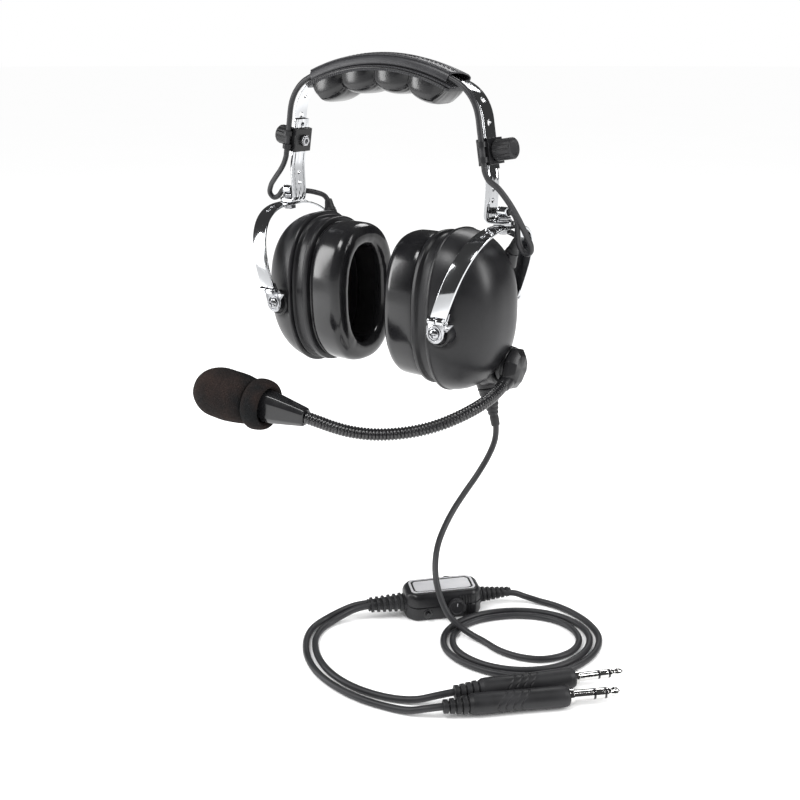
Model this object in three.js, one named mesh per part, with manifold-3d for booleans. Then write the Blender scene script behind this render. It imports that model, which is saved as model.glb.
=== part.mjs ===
// Aviation headset with boom microphone, volume box and twin plugs.
// Millimetres, +Z up, +X to the wearer's left, the wearer faces -Y.
// The origin is the centre of the wearer's head, midway between the four cup pivots.
import * as THREE from 'three';
import * as BufferGeometryUtils from 'three/addons/utils/BufferGeometryUtils.js';
import Module from 'manifold-3d';

const wasm = await Module();
wasm.setup();

// ---- driving dimensions ----------------------------------------------------
const GAP = 0.3; // clearance between neighbouring pieces

// ear cups: half width (Y), half height (Z), and stations along X
const CUP_Z = 6;
const OVAL_POWER = 2.4;
const SEAL = { front: 18, back: 44.5, w: 33.5, h: 49, holeW: 18.5, holeH: 33.5 };
const FLANGE = { front: SEAL.back + GAP, back: 57.7, holeW: 20, holeH: 34 };
const DOME = { base: 58, depth: 37, w: 37.5, h: 53.6, wall: 2.6 };

// stirrup yoke and its pivots
const PIVOT_X = 69;
const PIVOT_BOSS_Y = 41.2;
const YOKE = { halfW: 43.5, foot: 9, top: 62.6, thick: 1.6, width: 12 };
const SWIVEL_X = 90.8;
const YOKE_SLANT = (SWIVEL_X - PIVOT_X) / YOKE.top;
const CLIP_THICK = 1.5;

// headband spring: crown arc, shoulder arc, then a straight run through the clamp
const CROWN_Z = 161.5;
const CROWN_R = 150;
const CROWN_END = THREE.MathUtils.degToRad(24);
const SHOULDER_R = 28;
const SHOULDER_END = THREE.MathUtils.degToRad(80);
const SPRING_STRAIGHT = 30;
const SPRING = { thick: 1.4, width: 14 };
const BAR = { thick: 2, width: 13 };
const BAR_INSET = SPRING.thick / 2 + GAP + BAR.thick / 2;
const CLAMP_Z = 109;
const TAB_Z = 65.9;
const BOLT_HEAD = TAB_Z + BAR.thick / 2 + GAP;
const CABLE_CLIP_Z = BOLT_HEAD + 1.9 + GAP + 2.9;

// sleeve round the crown of the spring: offsets from the spring's middle
const SLEEVE = { endAngle: 22.1, low: -1.3, high: 4.8, wall: 1.1, width: 27.4 };

// cables and cords
const CABLE_R = 1.85;
const CABLE_Y = -(SPRING.width / 2 + 3.6);
const CORD_R = 2.1;
const FLOOR_Z = -192;
const CORD_Z = FLOOR_Z + CORD_R;

// boom
const BOOM_Y = 14;
const BOOM_Z = -30;
const BOOM_BOSS_X = 86;
const BEZEL_LENGTH = 6.8;
const GOOSENECK_R = 4.1;

// control box, lying on the floor plane
const BOX = { x: 78, y: -44, yaw: 48, long: 52, wide: 26, tall: 19, split: 9.6, wall: 1.8 };

// ---- finishes --------------------------------------------------------------
const finish = (color, roughness, metalness) =>
  () => new THREE.MeshStandardMaterial({ color, roughness, metalness });
const CHROME = finish(0xd6d8da, 0.12, 1);
const STEEL = finish(0xb9bcc0, 0.25, 1);
const BLACK_SATIN = finish(0x17181a, 0.45, 0);
const BLACK_GLOSS = finish(0x0d0d0f, 0.12, 0);
const BLACK_RUBBER = finish(0x1b1c1e, 0.7, 0);
const GREY_LEATHER = finish(0x3b3b40, 0.6, 0);
const FOAM = finish(0x151516, 0.95, 0);
const BOARD_GREEN = finish(0x1d5a38, 0.5, 0);

const headset = new THREE.Group();

function addMesh(name, geometry, material, parent = headset) {
  const mesh = new THREE.Mesh(closed(geometry), material());
  mesh.name = name;
  parent.add(mesh);
  return mesh;
}

// ---- geometry helpers ------------------------------------------------------
// Merge shared corners and make the faces point outwards.
function closed(geometry) {
  geometry.deleteAttribute('normal');
  geometry.deleteAttribute('uv');
  const merged = BufferGeometryUtils.mergeVertices(geometry, 1e-4);
  const position = merged.getAttribute('position');
  const index = merged.getIndex();
  const [a, b, c] = [new THREE.Vector3(), new THREE.Vector3(), new THREE.Vector3()];
  const kept = [];
  let volume = 0;
  for (let i = 0; i < index.count; i += 3) {
    const [i0, i1, i2] = [index.getX(i), index.getX(i + 1), index.getX(i + 2)];
    if (i0 === i1 || i1 === i2 || i2 === i0) continue;
    kept.push(i0, i1, i2);
    a.fromBufferAttribute(position, i0);
    b.fromBufferAttribute(position, i1);
    c.fromBufferAttribute(position, i2);
    volume += a.dot(b.cross(c));
  }
  if (volume < 0) kept.reverse();
  merged.setIndex(kept);
  return merged;
}

function toSolid(geometry) {
  const merged = closed(geometry);
  return new wasm.Manifold(new wasm.Mesh({
    numProp: 3,
    vertProperties: new Float32Array(merged.getAttribute('position').array),
    triVerts: new Uint32Array(merged.getIndex().array),
  }));
}

function fromSolid(solid) {
  const mesh = solid.getMesh();
  const geometry = new THREE.BufferGeometry();
  geometry.setAttribute('position', new THREE.BufferAttribute(mesh.vertProperties, 3));
  geometry.setIndex(new THREE.BufferAttribute(mesh.triVerts, 1));
  return geometry;
}

function union(...geometries) {
  return fromSolid(geometries.map(toSolid).reduce((sum, part) => sum.add(part)));
}

function cut(body, ...tools) {
  return fromSolid(tools.map(toSolid).reduce((rest, tool) => rest.subtract(tool), toSolid(body)));
}

// A solid turned about an axis from a list of [radius, distance along the axis].
function turned(profile, origin, axis, segments = 24) {
  const points = profile.map(([radius, along]) => new THREE.Vector2(radius, along));
  const geometry = new THREE.LatheGeometry(points, segments);
  const turn = new THREE.Quaternion().setFromUnitVectors(
    new THREE.Vector3(0, 1, 0), new THREE.Vector3(...axis).normalize());
  return geometry.applyQuaternion(turn).translate(...origin);
}

function rod(radius, start, end, origin, axis, segments = 20) {
  return turned([[0, start], [radius, start], [radius, end], [0, end]], origin, axis, segments);
}

// Oval rings {x, w, h} about the cup axis, joined in order; a ring of zero size is a pole.
function ovalRings(rings, segments = 32) {
  const profile = rings.map((ring, j) => new THREE.Vector2(1, j));
  const geometry = new THREE.LatheGeometry(profile, segments);
  const position = geometry.getAttribute('position');
  const power = 2 / OVAL_POWER;
  for (let i = 0; i <= segments; i += 1) {
    const angle = ((i % segments) / segments) * Math.PI * 2;
    const [co, si] = [Math.cos(angle), Math.sin(angle)];
    const y = Math.sign(co) * Math.abs(co) ** power;
    const z = Math.sign(si) * Math.abs(si) ** power;
    rings.forEach((ring, j) => {
      position.setXYZ(i * rings.length + j, ring.x, y * ring.w, CUP_Z + z * ring.h);
    });
  }
  return geometry;
}

// An outline in the XZ plane given as [x, z] pairs, extruded from -width/2 to width/2 in Y.
function plateXZ(outline, width) {
  const shape = new THREE.Shape(outline.map(([x, z]) => new THREE.Vector2(x, z)));
  const geometry = new THREE.ExtrudeGeometry(shape, { depth: width, bevelEnabled: false });
  return geometry.rotateX(Math.PI / 2).translate(0, width / 2, 0);
}

// A path of {x, z, nx, nz} thickened to both sides along its normal.
function strip(path, low, high, width) {
  const side = (offset) => path.map((p) => [p.x + p.nx * offset, p.z + p.nz * offset]);
  return plateXZ([...side(low), ...side(high).reverse()], width);
}

function tube(points, radius, sides, steps) {
  const section = new THREE.Shape();
  for (let i = 0; i < sides; i += 1) {
    const angle = (i / sides) * Math.PI * 2;
    const corner = [radius * Math.cos(angle), radius * Math.sin(angle)];
    if (i === 0) section.moveTo(...corner);
    else section.lineTo(...corner);
  }
  const curve = new THREE.CatmullRomCurve3(points.map((p) => new THREE.Vector3(...p)), false, 'centripetal');
  curve.arcLengthDivisions = 2000;
  return new THREE.ExtrudeGeometry(section, { steps, extrudePath: curve, bevelEnabled: false });
}

function box(x0, x1, y0, y1, z0, z1) {
  return new THREE.BoxGeometry(x1 - x0, y1 - y0, z1 - z0)
    .translate((x0 + x1) / 2, (y0 + y1) / 2, (z0 + z1) / 2);
}

// ---- headband path ---------------------------------------------------------
// Points of the spring's centre line on the +X side, from the crown down, each with its
// outward normal; angles are measured from straight up.
function springHalf(lastAngle, crownSteps, shoulderSteps) {
  const shoulder = shoulderCentre();
  const path = [];
  const at = (cx, cz, radius, angle) => {
    const [nx, nz] = [Math.sin(angle), Math.cos(angle)];
    path.push({ x: cx + radius * nx, z: cz + radius * nz, nx, nz });
  };
  for (let i = 0; i <= crownSteps; i += 1) at(0, CROWN_Z - CROWN_R, CROWN_R, (CROWN_END * i) / crownSteps);
  for (let i = 1; i <= shoulderSteps; i += 1) {
    at(shoulder.x, shoulder.z, SHOULDER_R, CROWN_END + ((lastAngle - CROWN_END) * i) / shoulderSteps);
  }
  return path;
}

function shoulderCentre() {
  const reach = CROWN_R - SHOULDER_R;
  return { x: reach * Math.sin(CROWN_END), z: CROWN_Z - CROWN_R + reach * Math.cos(CROWN_END) };
}

// A point on the straight run at height z, moved outwards by offset.
function straightPoint(z, offset = 0) {
  const shoulder = shoulderCentre();
  const [nx, nz] = [Math.sin(SHOULDER_END), Math.cos(SHOULDER_END)];
  const start = { x: shoulder.x + SHOULDER_R * nx, z: shoulder.z + SHOULDER_R * nz };
  const along = (start.z - z) / nx;
  return { x: start.x + nz * along + nx * offset, z: z + nz * offset, nx, nz };
}

function mirrorPath(half) {
  const left = half.slice(1).map((p) => ({ ...p, x: -p.x, nx: -p.nx })).reverse();
  return [...left, ...half];
}

// ---- headband --------------------------------------------------------------
function buildHeadband() {
  const shoulder = springHalf(SHOULDER_END, 12, 9);
  const straightEnd = straightPoint(shoulder.at(-1).z - SPRING_STRAIGHT * Math.sin(SHOULDER_END));
  const spring = mirrorPath([...shoulder, straightEnd]);
  addMesh('headband_spring', strip(spring, -SPRING.thick / 2, SPRING.thick / 2, SPRING.width), CHROME);

  // the sleeve goes round the spring and the cable; the pad hangs under it
  const s = SLEEVE;
  const path = mirrorPath(crownHalf(s.endAngle, 12));
  const longer = mirrorPath(crownHalf(s.endAngle + 3, 12));
  const sleeve = cut(
    strip(path, s.low - s.wall, s.high, s.width),
    strip(longer, s.low, s.high - s.wall, s.width - 2 * s.wall));
  addMesh('pad_cover', sleeve, GREY_LEATHER);
  const padPath = mirrorPath(crownHalf(22.8, 12));
  addMesh('head_pad', strip(padPath, -17.5, s.low - s.wall - GAP, 32), BLACK_GLOSS);

  addMesh('dome_cable', tube(domeCableRoute(), CABLE_R, 8, 34), BLACK_RUBBER);
}

// Points of the crown arc from the middle out to an angle in degrees.
function crownHalf(lastDegrees, steps) {
  const path = [];
  for (let i = 0; i <= steps; i += 1) {
    const angle = THREE.MathUtils.degToRad((lastDegrees * i) / steps);
    const [nx, nz] = [Math.sin(angle), Math.cos(angle)];
    path.push({ x: CROWN_R * nx, z: CROWN_Z - CROWN_R + CROWN_R * nz, nx, nz });
  }
  return path;
}

// The cable between the cups runs along the spring's front edge, through the sleeve, where it
// lies a little higher, to just below each clamp.
function domeCableRoute() {
  const half = springHalf(SHOULDER_END, 6, 5).map((p, i) => {
    const lift = THREE.MathUtils.clamp((11 - i) / 4, 0, 1);
    return [p.x + p.nx * lift, CABLE_Y, p.z + p.nz * lift];
  });
  const end = straightPoint(CLAMP_Z - 9);
  half.push([end.x, CABLE_Y, end.z]);
  const other = half.slice(1).map(([x, y, z]) => [-x, y, z]).reverse();
  return [...other, ...half];
}

// ---- slide bar with its clamp, built for the +X side -----------------------
function buildArm(side, parent) {
  const normal = straightPoint(CLAMP_Z);
  const outward = [normal.nx, 0, normal.nz];
  const grip = [normal.x, 0, normal.z];

  const top = straightPoint(CLAMP_Z + 14, -BAR_INSET);
  const bendStart = straightPoint(92, -BAR_INSET);
  const bend = new THREE.CatmullRomCurve3([
    new THREE.Vector3(bendStart.x, 0, bendStart.z),
    new THREE.Vector3(81.6, 0, 84),
    new THREE.Vector3(81.2, 0, 76),
    new THREE.Vector3(80.9, 0, 70),
    new THREE.Vector3(81.3, 0, 67.6),
    new THREE.Vector3(82.8, 0, 66.2),
    new THREE.Vector3(85, 0, TAB_Z),
    new THREE.Vector3(91, 0, TAB_Z),
    new THREE.Vector3(97.5, 0, TAB_Z),
  ], false, 'centripetal');
  const bar = [top];
  const samples = 16;
  for (let i = 0; i <= samples; i += 1) {
    const p = bend.getPointAt(i / samples);
    const t = bend.getTangentAt(i / samples);
    bar.push({ x: p.x, z: p.z, nx: -t.z, nz: t.x });
  }
  const holes = [86, 79, 119.5].map((z) => rod(1.6, -8, 8, [straightPoint(z, -BAR_INSET).x, 0, z], outward, 10));
  const boltHole = rod(2.8, -6, 6, [SWIVEL_X, 0, TAB_Z], [0, 0, 1], 16);
  addMesh(`${side}_slide_bar`,
    cut(strip(bar, -BAR.thick / 2, BAR.thick / 2, BAR.width), boltHole, ...holes), CHROME, parent);

  const slotIn = -(BAR_INSET + BAR.thick / 2 + GAP);
  const slotOut = SPRING.thick / 2 + GAP;
  const sleeve = cut(
    box(slotIn - 2, slotOut + 2.2, -8.3, 8.3, -8, 8),
    box(slotIn, slotOut, -SPRING.width / 2 - GAP, SPRING.width / 2 + GAP, -20, 20),
    rod(2.4, 0, 8, [0, 0, 0], [1, 0, 0], 16));
  const tilt = -(Math.PI / 2 - SHOULDER_END);
  const place = (geometry) => geometry.rotateY(tilt).translate(...grip);
  addMesh(`${side}_clamp_plate`, place(sleeve), BLACK_SATIN, parent);

  const knob = union(
    scalloped(6.6, 0.5, 12, 13).rotateY(Math.PI / 2).translate(slotOut + 2.5, 0, 0),
    rod(2, slotOut + GAP, slotOut + 4, [0, 0, 0], [1, 0, 0], 16));
  addMesh(`${side}_clamp_knob`, place(knob), BLACK_RUBBER, parent);

  addMesh(`${side}_swivel_bolt`, turned([
    [0, 59.3], [4.2, 59.3], [4.2, YOKE.top - GAP], [2.4, YOKE.top - GAP],
    [2.4, BOLT_HEAD], [4.6, BOLT_HEAD], [4.6, BOLT_HEAD + 1.9], [0, BOLT_HEAD + 1.9],
  ], [SWIVEL_X, 0, 0], [0, 0, 1], 14), STEEL, parent);

  addMesh(`${side}_cable_clip`, turned(
    [[2.2, -2.6], [2.9, -2.6], [2.9, 3.2], [2.2, 3.2], [2.2, -2.6]], [SWIVEL_X, 0, CABLE_CLIP_Z], [1, 0, 0], 14), CHROME, parent);
}

// A knob with round flutes: its rim radius rises and falls count times.
function scalloped(radius, depth, count, length) {
  const outline = [];
  const perFlute = 4;
  for (let i = 0; i < count * perFlute; i += 1) {
    const angle = (i / (count * perFlute)) * Math.PI * 2;
    const reach = radius - depth * (i % perFlute === 0 ? 2 : 0);
    outline.push(new THREE.Vector2(reach * Math.cos(angle), reach * Math.sin(angle)));
  }
  return new THREE.ExtrudeGeometry(new THREE.Shape(outline), { depth: length, bevelEnabled: false });
}

// ---- yoke and pivots -------------------------------------------------------
function buildYoke(side, parent) {
  const rise = YOKE.top - YOKE.foot;
  const arch = (extra, steps) => {
    const points = [];
    for (let i = 0; i <= steps; i += 1) {
      const angle = (Math.PI * i) / steps;
      const [co, si] = [Math.cos(angle), Math.sin(angle)];
      points.push(new THREE.Vector2(
        Math.sign(co) * Math.abs(co) ** 0.75 * (YOKE.halfW + extra),
        YOKE.foot + Math.abs(si) ** 0.75 * (rise + extra)));
    }
    return points;
  };
  const shape = new THREE.Shape([...arch(YOKE.thick, 24), ...arch(0, 24).reverse()]);
  const strap = new THREE.ExtrudeGeometry(shape, { depth: YOKE.width, bevelEnabled: false });
  strap.translate(0, 0, -YOKE.width / 2);
  const position = strap.getAttribute('position');
  for (let i = 0; i < position.count; i += 1) {
    const [y, z, across] = [position.getX(i), position.getY(i), position.getZ(i)];
    position.setXYZ(i, PIVOT_X + across + z * YOKE_SLANT, y, z);
  }
  const boltHole = rod(2.8, 55, 70, [SWIVEL_X, 0, 0], [0, 0, 1], 16);
  addMesh(`${side}_yoke`, cut(strap, boltHole), CHROME, parent);

  for (const [end, sign] of [['front', -1], ['rear', 1]]) {
    addMesh(`${side}_${end}_pivot_clip`, pivotClip(sign), STEEL, parent);
    const head = PIVOT_BOSS_Y + GAP + CLIP_THICK + GAP;
    addMesh(`${side}_${end}_pivot_screw`, turned(
      [[0, 34], [1.6, 34], [1.6, head], [3.5, head], [3.1, head + 1.6], [0, head + 2.2]],
      [PIVOT_X, 0, 0], [0, sign, 0], 16), STEEL, parent);
  }
}

function pivotClip(sign) {
  const outline = [];
  for (let i = 0; i <= 10; i += 1) {
    const angle = Math.PI + (Math.PI * i) / 10;
    outline.push([PIVOT_X + 6.3 * Math.cos(angle), 6.3 * Math.sin(angle)]);
  }
  outline.push([PIVOT_X + 6.3 + 5 * YOKE_SLANT, 5], [PIVOT_X + 10.5, 7.5], [PIVOT_X + 10.5, 9.5]);
  outline.push([PIVOT_X + 6.3 + 15 * YOKE_SLANT, 15], [PIVOT_X - 6 + 15 * YOKE_SLANT, 15]);
  outline.push([PIVOT_X - 8, 9]);
  const middle = sign * (PIVOT_BOSS_Y + GAP + CLIP_THICK / 2);
  const plate = plateXZ(outline, CLIP_THICK).translate(0, middle, 0);
  return cut(plate, rod(2, middle - 5, middle + 5, [PIVOT_X, 0, 0], [0, 1, 0], 14));
}

// ---- ear cup ---------------------------------------------------------------
function domeShell() {
  const rings = [];
  const steps = 6;
  const arc = (wall, from, to, by) => {
    for (let i = from; i !== to + by; i += by) {
      const lift = (Math.PI / 2) * (i / steps);
      const size = i === steps ? 0 : Math.cos(lift) ** 0.75;
      const x = DOME.base + (DOME.depth - wall) * Math.sin(lift);
      rings.push({ x, w: (DOME.w - wall) * size, h: (DOME.h - wall) * size });
    }
  };
  arc(0, steps, 0, -1);
  arc(DOME.wall, 0, steps, 1);
  return ovalRings(rings);
}

function buildCup(side, parent, extras, holes) {
  const boss = (sign) => rod(5.2, 31, PIVOT_BOSS_Y, [PIVOT_X, 0, 0], [0, sign, 0], 18);
  const bossHole = (sign) => rod(1.9, 33, 50, [PIVOT_X, 0, 0], [0, sign, 0], 14);
  const shell = union(domeShell(), boss(-1), boss(1), ...extras);
  addMesh(`${side}_dome`, cut(shell, bossHole(-1), bossHole(1), ...holes), BLACK_SATIN, parent);

  const s = SEAL;
  const sealRings = [
    { x: s.front, w: s.holeW + 2.5, h: s.holeH + 2.5 },
    { x: s.front, w: s.w - 6, h: s.h - 6 },
    { x: s.front + 2, w: s.w - 2, h: s.h - 2 },
    { x: s.front + 6.5, w: s.w, h: s.h },
    { x: s.back - 4, w: s.w, h: s.h },
    { x: s.back, w: s.w - 2.5, h: s.h - 2.5 },
    { x: s.back, w: s.holeW + 1, h: s.holeH + 1 },
    { x: s.front + 4, w: s.holeW, h: s.holeH },
  ];
  addMesh(`${side}_ear_seal`, ovalRings([...sealRings, sealRings[0]]), BLACK_GLOSS, parent);

  const f = FLANGE;
  const flangeRings = [
    { x: f.front, w: f.holeW, h: f.holeH },
    { x: f.front, w: SEAL.w + 2.2, h: SEAL.h + 2.2 },
    { x: f.front + 3.6, w: SEAL.w + 2.6, h: SEAL.h + 2.6 },
    { x: f.front + 5.2, w: SEAL.w + 0.6, h: SEAL.h + 0.6 },
    { x: f.back - 2, w: SEAL.w + 0.6, h: SEAL.h + 0.6 },
    { x: f.back, w: SEAL.w + 2.6, h: SEAL.h + 2.6 },
    { x: f.back, w: f.holeW, h: f.holeH },
  ];
  addMesh(`${side}_seal_flange`, ovalRings([...flangeRings, flangeRings[0]]), BLACK_SATIN, parent);

  addMesh(`${side}_foam_liner`, ovalRings([
    { x: 50, w: 0, h: 0 }, { x: 50, w: f.holeW - GAP, h: f.holeH - GAP },
    { x: f.back, w: f.holeW - GAP, h: f.holeH - GAP }, { x: f.back, w: 0, h: 0 },
  ], 28), FOAM, parent);
  addMesh(`${side}_speaker`, turned(
    [[0, 58], [18, 58], [18, 61], [11, 64.5], [11, 71], [0, 71]], [0, 0, CUP_Z], [1, 0, 0], 24), STEEL, parent);
}

// ---- boom microphone -------------------------------------------------------
const MIC_START = new THREE.Vector3(7.6, -95.8, -53.7);
const MIC_AXIS = new THREE.Vector3(-0.987, -0.13, 0.078).normalize();
const HOUSING_LENGTH = 33;
const GOOSENECK_ROUTE = [
  [95, 0.4, -38.8], [96, -9.4, -41.4], [96, -20.6, -44.1], [94.2, -32, -46.8], [90, -43.5, -50], [83.6, -54.3, -53.4],
  [74.7, -64.6, -56.4], [63.4, -74.2, -58.5], [50.3, -82.3, -59.5], [36.8, -88.4, -58.8], [26.6, -91.8, -57.2],
  [17.4, -94, -55.4], [MIC_START.x, MIC_START.y, MIC_START.z],
];

function buildBoom() {
  const at = [0, BOOM_Y, BOOM_Z];
  const bezelFront = BOOM_BOSS_X + GAP;
  const bezelBack = bezelFront + BEZEL_LENGTH;
  addMesh('boom_bezel', turned([
    [4.4, bezelFront], [12.6, bezelFront], [12.6, bezelBack - 1], [11.8, bezelBack],
    [4.4, bezelBack], [4.4, bezelFront],
  ], at, [1, 0, 0], 24), BLACK_SATIN);

  const blockStart = bezelBack + GAP;
  const outline = [[-3, 13], [7, 10], [10, 3], [9, -5], [0, -15], [-11.2, -13.2], [-14.8, -3.8], [-12, 6]];
  const shape = new THREE.Shape(outline.map(([y, z]) => new THREE.Vector2(y, z)));
  const block = new THREE.ExtrudeGeometry(shape, {
    depth: 5, bevelThickness: 2.4, bevelSize: 2.2, bevelOffset: -2.2, bevelSegments: 1,
  });
  block.applyMatrix4(new THREE.Matrix4().set(0, 0, 1, blockStart + 2.4, 1, 0, 0, BOOM_Y, 0, 1, 0, BOOM_Z, 0, 0, 0, 1));
  const shaft = rod(4, 74, blockStart + 3, at, [1, 0, 0], 18);
  addMesh('boom_block', union(block, shaft), BLACK_SATIN);

  addMesh('gooseneck', tube(GOOSENECK_ROUTE, GOOSENECK_R, 8, 24), BLACK_GLOSS);

  const origin = MIC_START.toArray();
  const axis = MIC_AXIS.toArray();
  const housing = new THREE.CylinderGeometry(1, 1, 1, 8, 1);
  housing.rotateY(Math.PI / 8);
  const corners = housing.getAttribute('position');
  for (let i = 0; i < corners.count; i += 1) {
    const end = corners.getY(i) > 0;
    const [tall, wide] = end ? [10.8, 8.4] : [6.2, 5.2];
    corners.setXYZ(i, corners.getX(i) * wide, end ? HOUSING_LENGTH : 2 * GAP, corners.getZ(i) * tall);
  }
  const turn = new THREE.Matrix4();
  const across = new THREE.Vector3().crossVectors(new THREE.Vector3(0, 0, 1), MIC_AXIS).normalize();
  const upward = new THREE.Vector3().crossVectors(MIC_AXIS, across);
  turn.makeBasis(across, MIC_AXIS, upward.negate()).setPosition(MIC_START);
  addMesh('mic_housing', housing.applyMatrix4(turn), BLACK_GLOSS);
  const end = HOUSING_LENGTH;
  addMesh('mic_capsule', rod(6.2, end + GAP, end + 13, origin, axis, 18), STEEL);
  addMesh('windscreen', turned([
    [6.5, end + 3], [10.6, end + 3], [10.6, 43], [14.2, 43.4], [16.2, 49], [17.1, 57], [17.3, 66], [16.7, 73],
    [14.4, 79.8], [9.8, 85], [4.7, 87.6], [0, 88.2], [0, end + 13.3], [6.5, end + 13.3], [6.5, end + 3],
  ], origin, axis, 20), FOAM);
  addMesh('windscreen_cuff', turned([
    [11.1, 29], [14.2, 29.4], [16.2, 32.4], [16.8, 36], [16.2, 39.6], [14.2, 42.6], [11.1, 43], [11.1, 29],
  ], origin, axis, 20), FOAM);
}

// ---- cords, reliefs and clips ----------------------------------------------
const GLAND_TOP = new THREE.Vector3(71, 19, -50);
const GLAND_AXIS = new THREE.Vector3(0.2, 0.085, -0.976).normalize();
const GLAND_LENGTH = 29;

const LEFT_LOOP = [
  [82.3, CABLE_Y, 98.9], [85.6, -10.4, 92.6], [91.5, -9, 88], [97, -4.5, 79], [101.4, 1, 68], [104.4, 6.5, 57],
  [104.8, 10.5, 49.5], [101.8, 11.8, 46.4], [99.4, 10, 50], [99.6, 6, 58], [100.4, 2.4, 66], [99.4, 0.4, 70.4],
  [96.6, 0, CABLE_CLIP_Z], [94, 0, CABLE_CLIP_Z], [91.2, 0, CABLE_CLIP_Z],
];
const RIGHT_LOOP = [
  [82.3, CABLE_Y, 98.9], [86.5, -10.2, 93.6], [94.5, -9, 89], [103, -7, 82.5], [108.2, -5, 75],
  [107.6, -3, 68.4], [102.6, -1, 66.8], [98.6, -0.2, 69.8], [96.4, 0, CABLE_CLIP_Z], [94, 0, CABLE_CLIP_Z],
  [91.2, 0, CABLE_CLIP_Z],
];
const LEFT_TAIL = [
  [90.4, 0, CABLE_CLIP_Z], [88.4, 0, CABLE_CLIP_Z], [86.6, 0, CABLE_CLIP_Z], [85.4, 2.2, 71.9], [85, 5.6, 71.8],
  [83.8, 9.6, 70.8], [81, 12.8, 67.4], [80.6, 15.6, 62.4], [82.4, 17.8, 58], [86, 19.4, 56.2], [88.6, 20, 54.6], [88.6, 20, 51.2],
];
const RIGHT_TAIL = [
  [90.4, 0, CABLE_CLIP_Z], [88.4, 0, CABLE_CLIP_Z], [86.6, 0, CABLE_CLIP_Z], [85.4, 2.2, 71.9], [84.9, 6, 71.8],
  [81.6, 10.2, 71.4], [76.4, 13.2, 70.4], [70.8, 15.6, 68.4], [67.8, 16.8, 64.4],
];
const LEFT_BOOT = { top: [88.6, 20, 51.6], axis: [-0.4, 0.05, -0.915], length: 8 };
const RIGHT_BOOT = { top: [67.9, 16.8, 65], axis: [-0.1, 0.1, -0.98], length: 6.5 };

// Boot moulded on the cable's end; it sits on a stub that is part of the dome.
function boot(spec) {
  return turned([[0, 0], [2.6, 0], [4.4, spec.length], [0, spec.length]], spec.top, spec.axis, 14);
}

function bootSeat(spec, depth) {
  return rod(4.6, spec.length + GAP, spec.length + GAP + depth, spec.top, spec.axis, 14);
}

// The main cord: down from the gland, forward past the front of the box and over the loops'
// left side, then twice round on the floor plane and into the box.
const MAIN_ROUTE = [
  [77, 21.5, -80], [77, 20.3, -89], [75.4, 15, -99.5], [72.4, 5.5, -111.5], [70, -6, -121.5], [69.2, -18, -130],
  [70.2, -30, -138], [73, -41.5, -145.5], [77.6, -51, -152.8], [83.6, -58.6, -161], [90.4, -62.6, -171.2],
  [97.6, -63.6, -180.4], [105.4, -63, -185.6], [113.6, -62.6, -188.6],
  [124, -63, CORD_Z], [138, -66, CORD_Z], [152, -64.5, CORD_Z], [164, -58.5, CORD_Z], [172, -48, CORD_Z],
  [175, -36, CORD_Z], [172, -24.5, CORD_Z], [163, -16, CORD_Z], [151, -13, CORD_Z], [138, -15.5, CORD_Z],
  [125, -23, CORD_Z], [114, -34, CORD_Z], [106.5, -46, CORD_Z], [103.6, -58.5, CORD_Z], [106, -71, CORD_Z],
  [113.5, -80, CORD_Z], [125, -84.6, CORD_Z], [139, -84.8, CORD_Z], [153, -80.4, CORD_Z], [166, -71.5, CORD_Z],
  [175.4, -60, CORD_Z], [180.4, -46, CORD_Z], [181, -31, CORD_Z], [176, -18, CORD_Z], [166, -9.6, CORD_Z],
  [152, -6.8, CORD_Z], [136.5, -9.6, CORD_Z], [121.5, -18, CORD_Z], [109.5, -30, CORD_Z], [101.6, -43.5, CORD_Z],
  [98.2, -58, CORD_Z], [100.6, -73, CORD_Z], [109.4, -84.6, CORD_Z], [123, -90.2, CORD_Z], [140, -90.4, CORD_Z],
  [156, -85.4, CORD_Z], [170.4, -75.4, CORD_Z], [180.6, -62.6, CORD_Z], [186, -47, CORD_Z], [186.6, -30, CORD_Z],
  [181, -14.5, CORD_Z], [169.4, -4, CORD_Z], [155, 2, CORD_Z], [140, 4, CORD_Z], [127, 2, CORD_Z + 0.4],
  [118.4, -2.6, CORD_Z + 3], [113.4, -8, CORD_Z + 6.2],
];
const HEADPHONE_CORD_ROUTE = [
  [41.5, -82, -182.6], [36.4, -87.6, -183.6], [30.6, -94.6, -186.6], [26.4, -103.4, -189.2], [25.8, -114, CORD_Z],
  [29.8, -125.4, CORD_Z], [38.4, -137, CORD_Z], [50.4, -147, CORD_Z], [65, -154, CORD_Z], [82, -157.6, CORD_Z],
  [100, -157.8, CORD_Z], [117, -154.6, CORD_Z], [130, -150.6, -189], [138.6, -146.4, -186.6], [145.5, -140.5, -185.7],
];
const MIC_CORD_ROUTE = [
  [44.8, -85, -182.6], [40.2, -90.6, -183.8], [35.2, -97.2, -187], [32, -105, -189.6], [32, -114, CORD_Z],
  [36, -124.4, CORD_Z], [44, -134, CORD_Z], [55, -142.2, CORD_Z], [68.6, -148.2, CORD_Z], [84, -151, CORD_Z],
  [100, -150.2, CORD_Z], [115, -146, CORD_Z], [127, -140, -189], [136.4, -132.4, -186.6], [142.7, -125.35, -185.7],
];

function buildCords() {
  addMesh('cord_gland', turned(
    [[0, GAP], [7.2, GAP], [6.6, 7], [4.2, 17], [3.1, GLAND_LENGTH], [0, GLAND_LENGTH]],
    GLAND_TOP.toArray(), GLAND_AXIS.toArray(), 18), BLACK_RUBBER);
  addMesh('main_cord', tube(MAIN_ROUTE, CORD_R, 8, 84), BLACK_RUBBER);
  addMesh('headphone_cord', tube(HEADPHONE_CORD_ROUTE, CORD_R, 8, 20), BLACK_RUBBER);
  addMesh('mic_cord', tube(MIC_CORD_ROUTE, CORD_R, 8, 18), BLACK_RUBBER);
}

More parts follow.
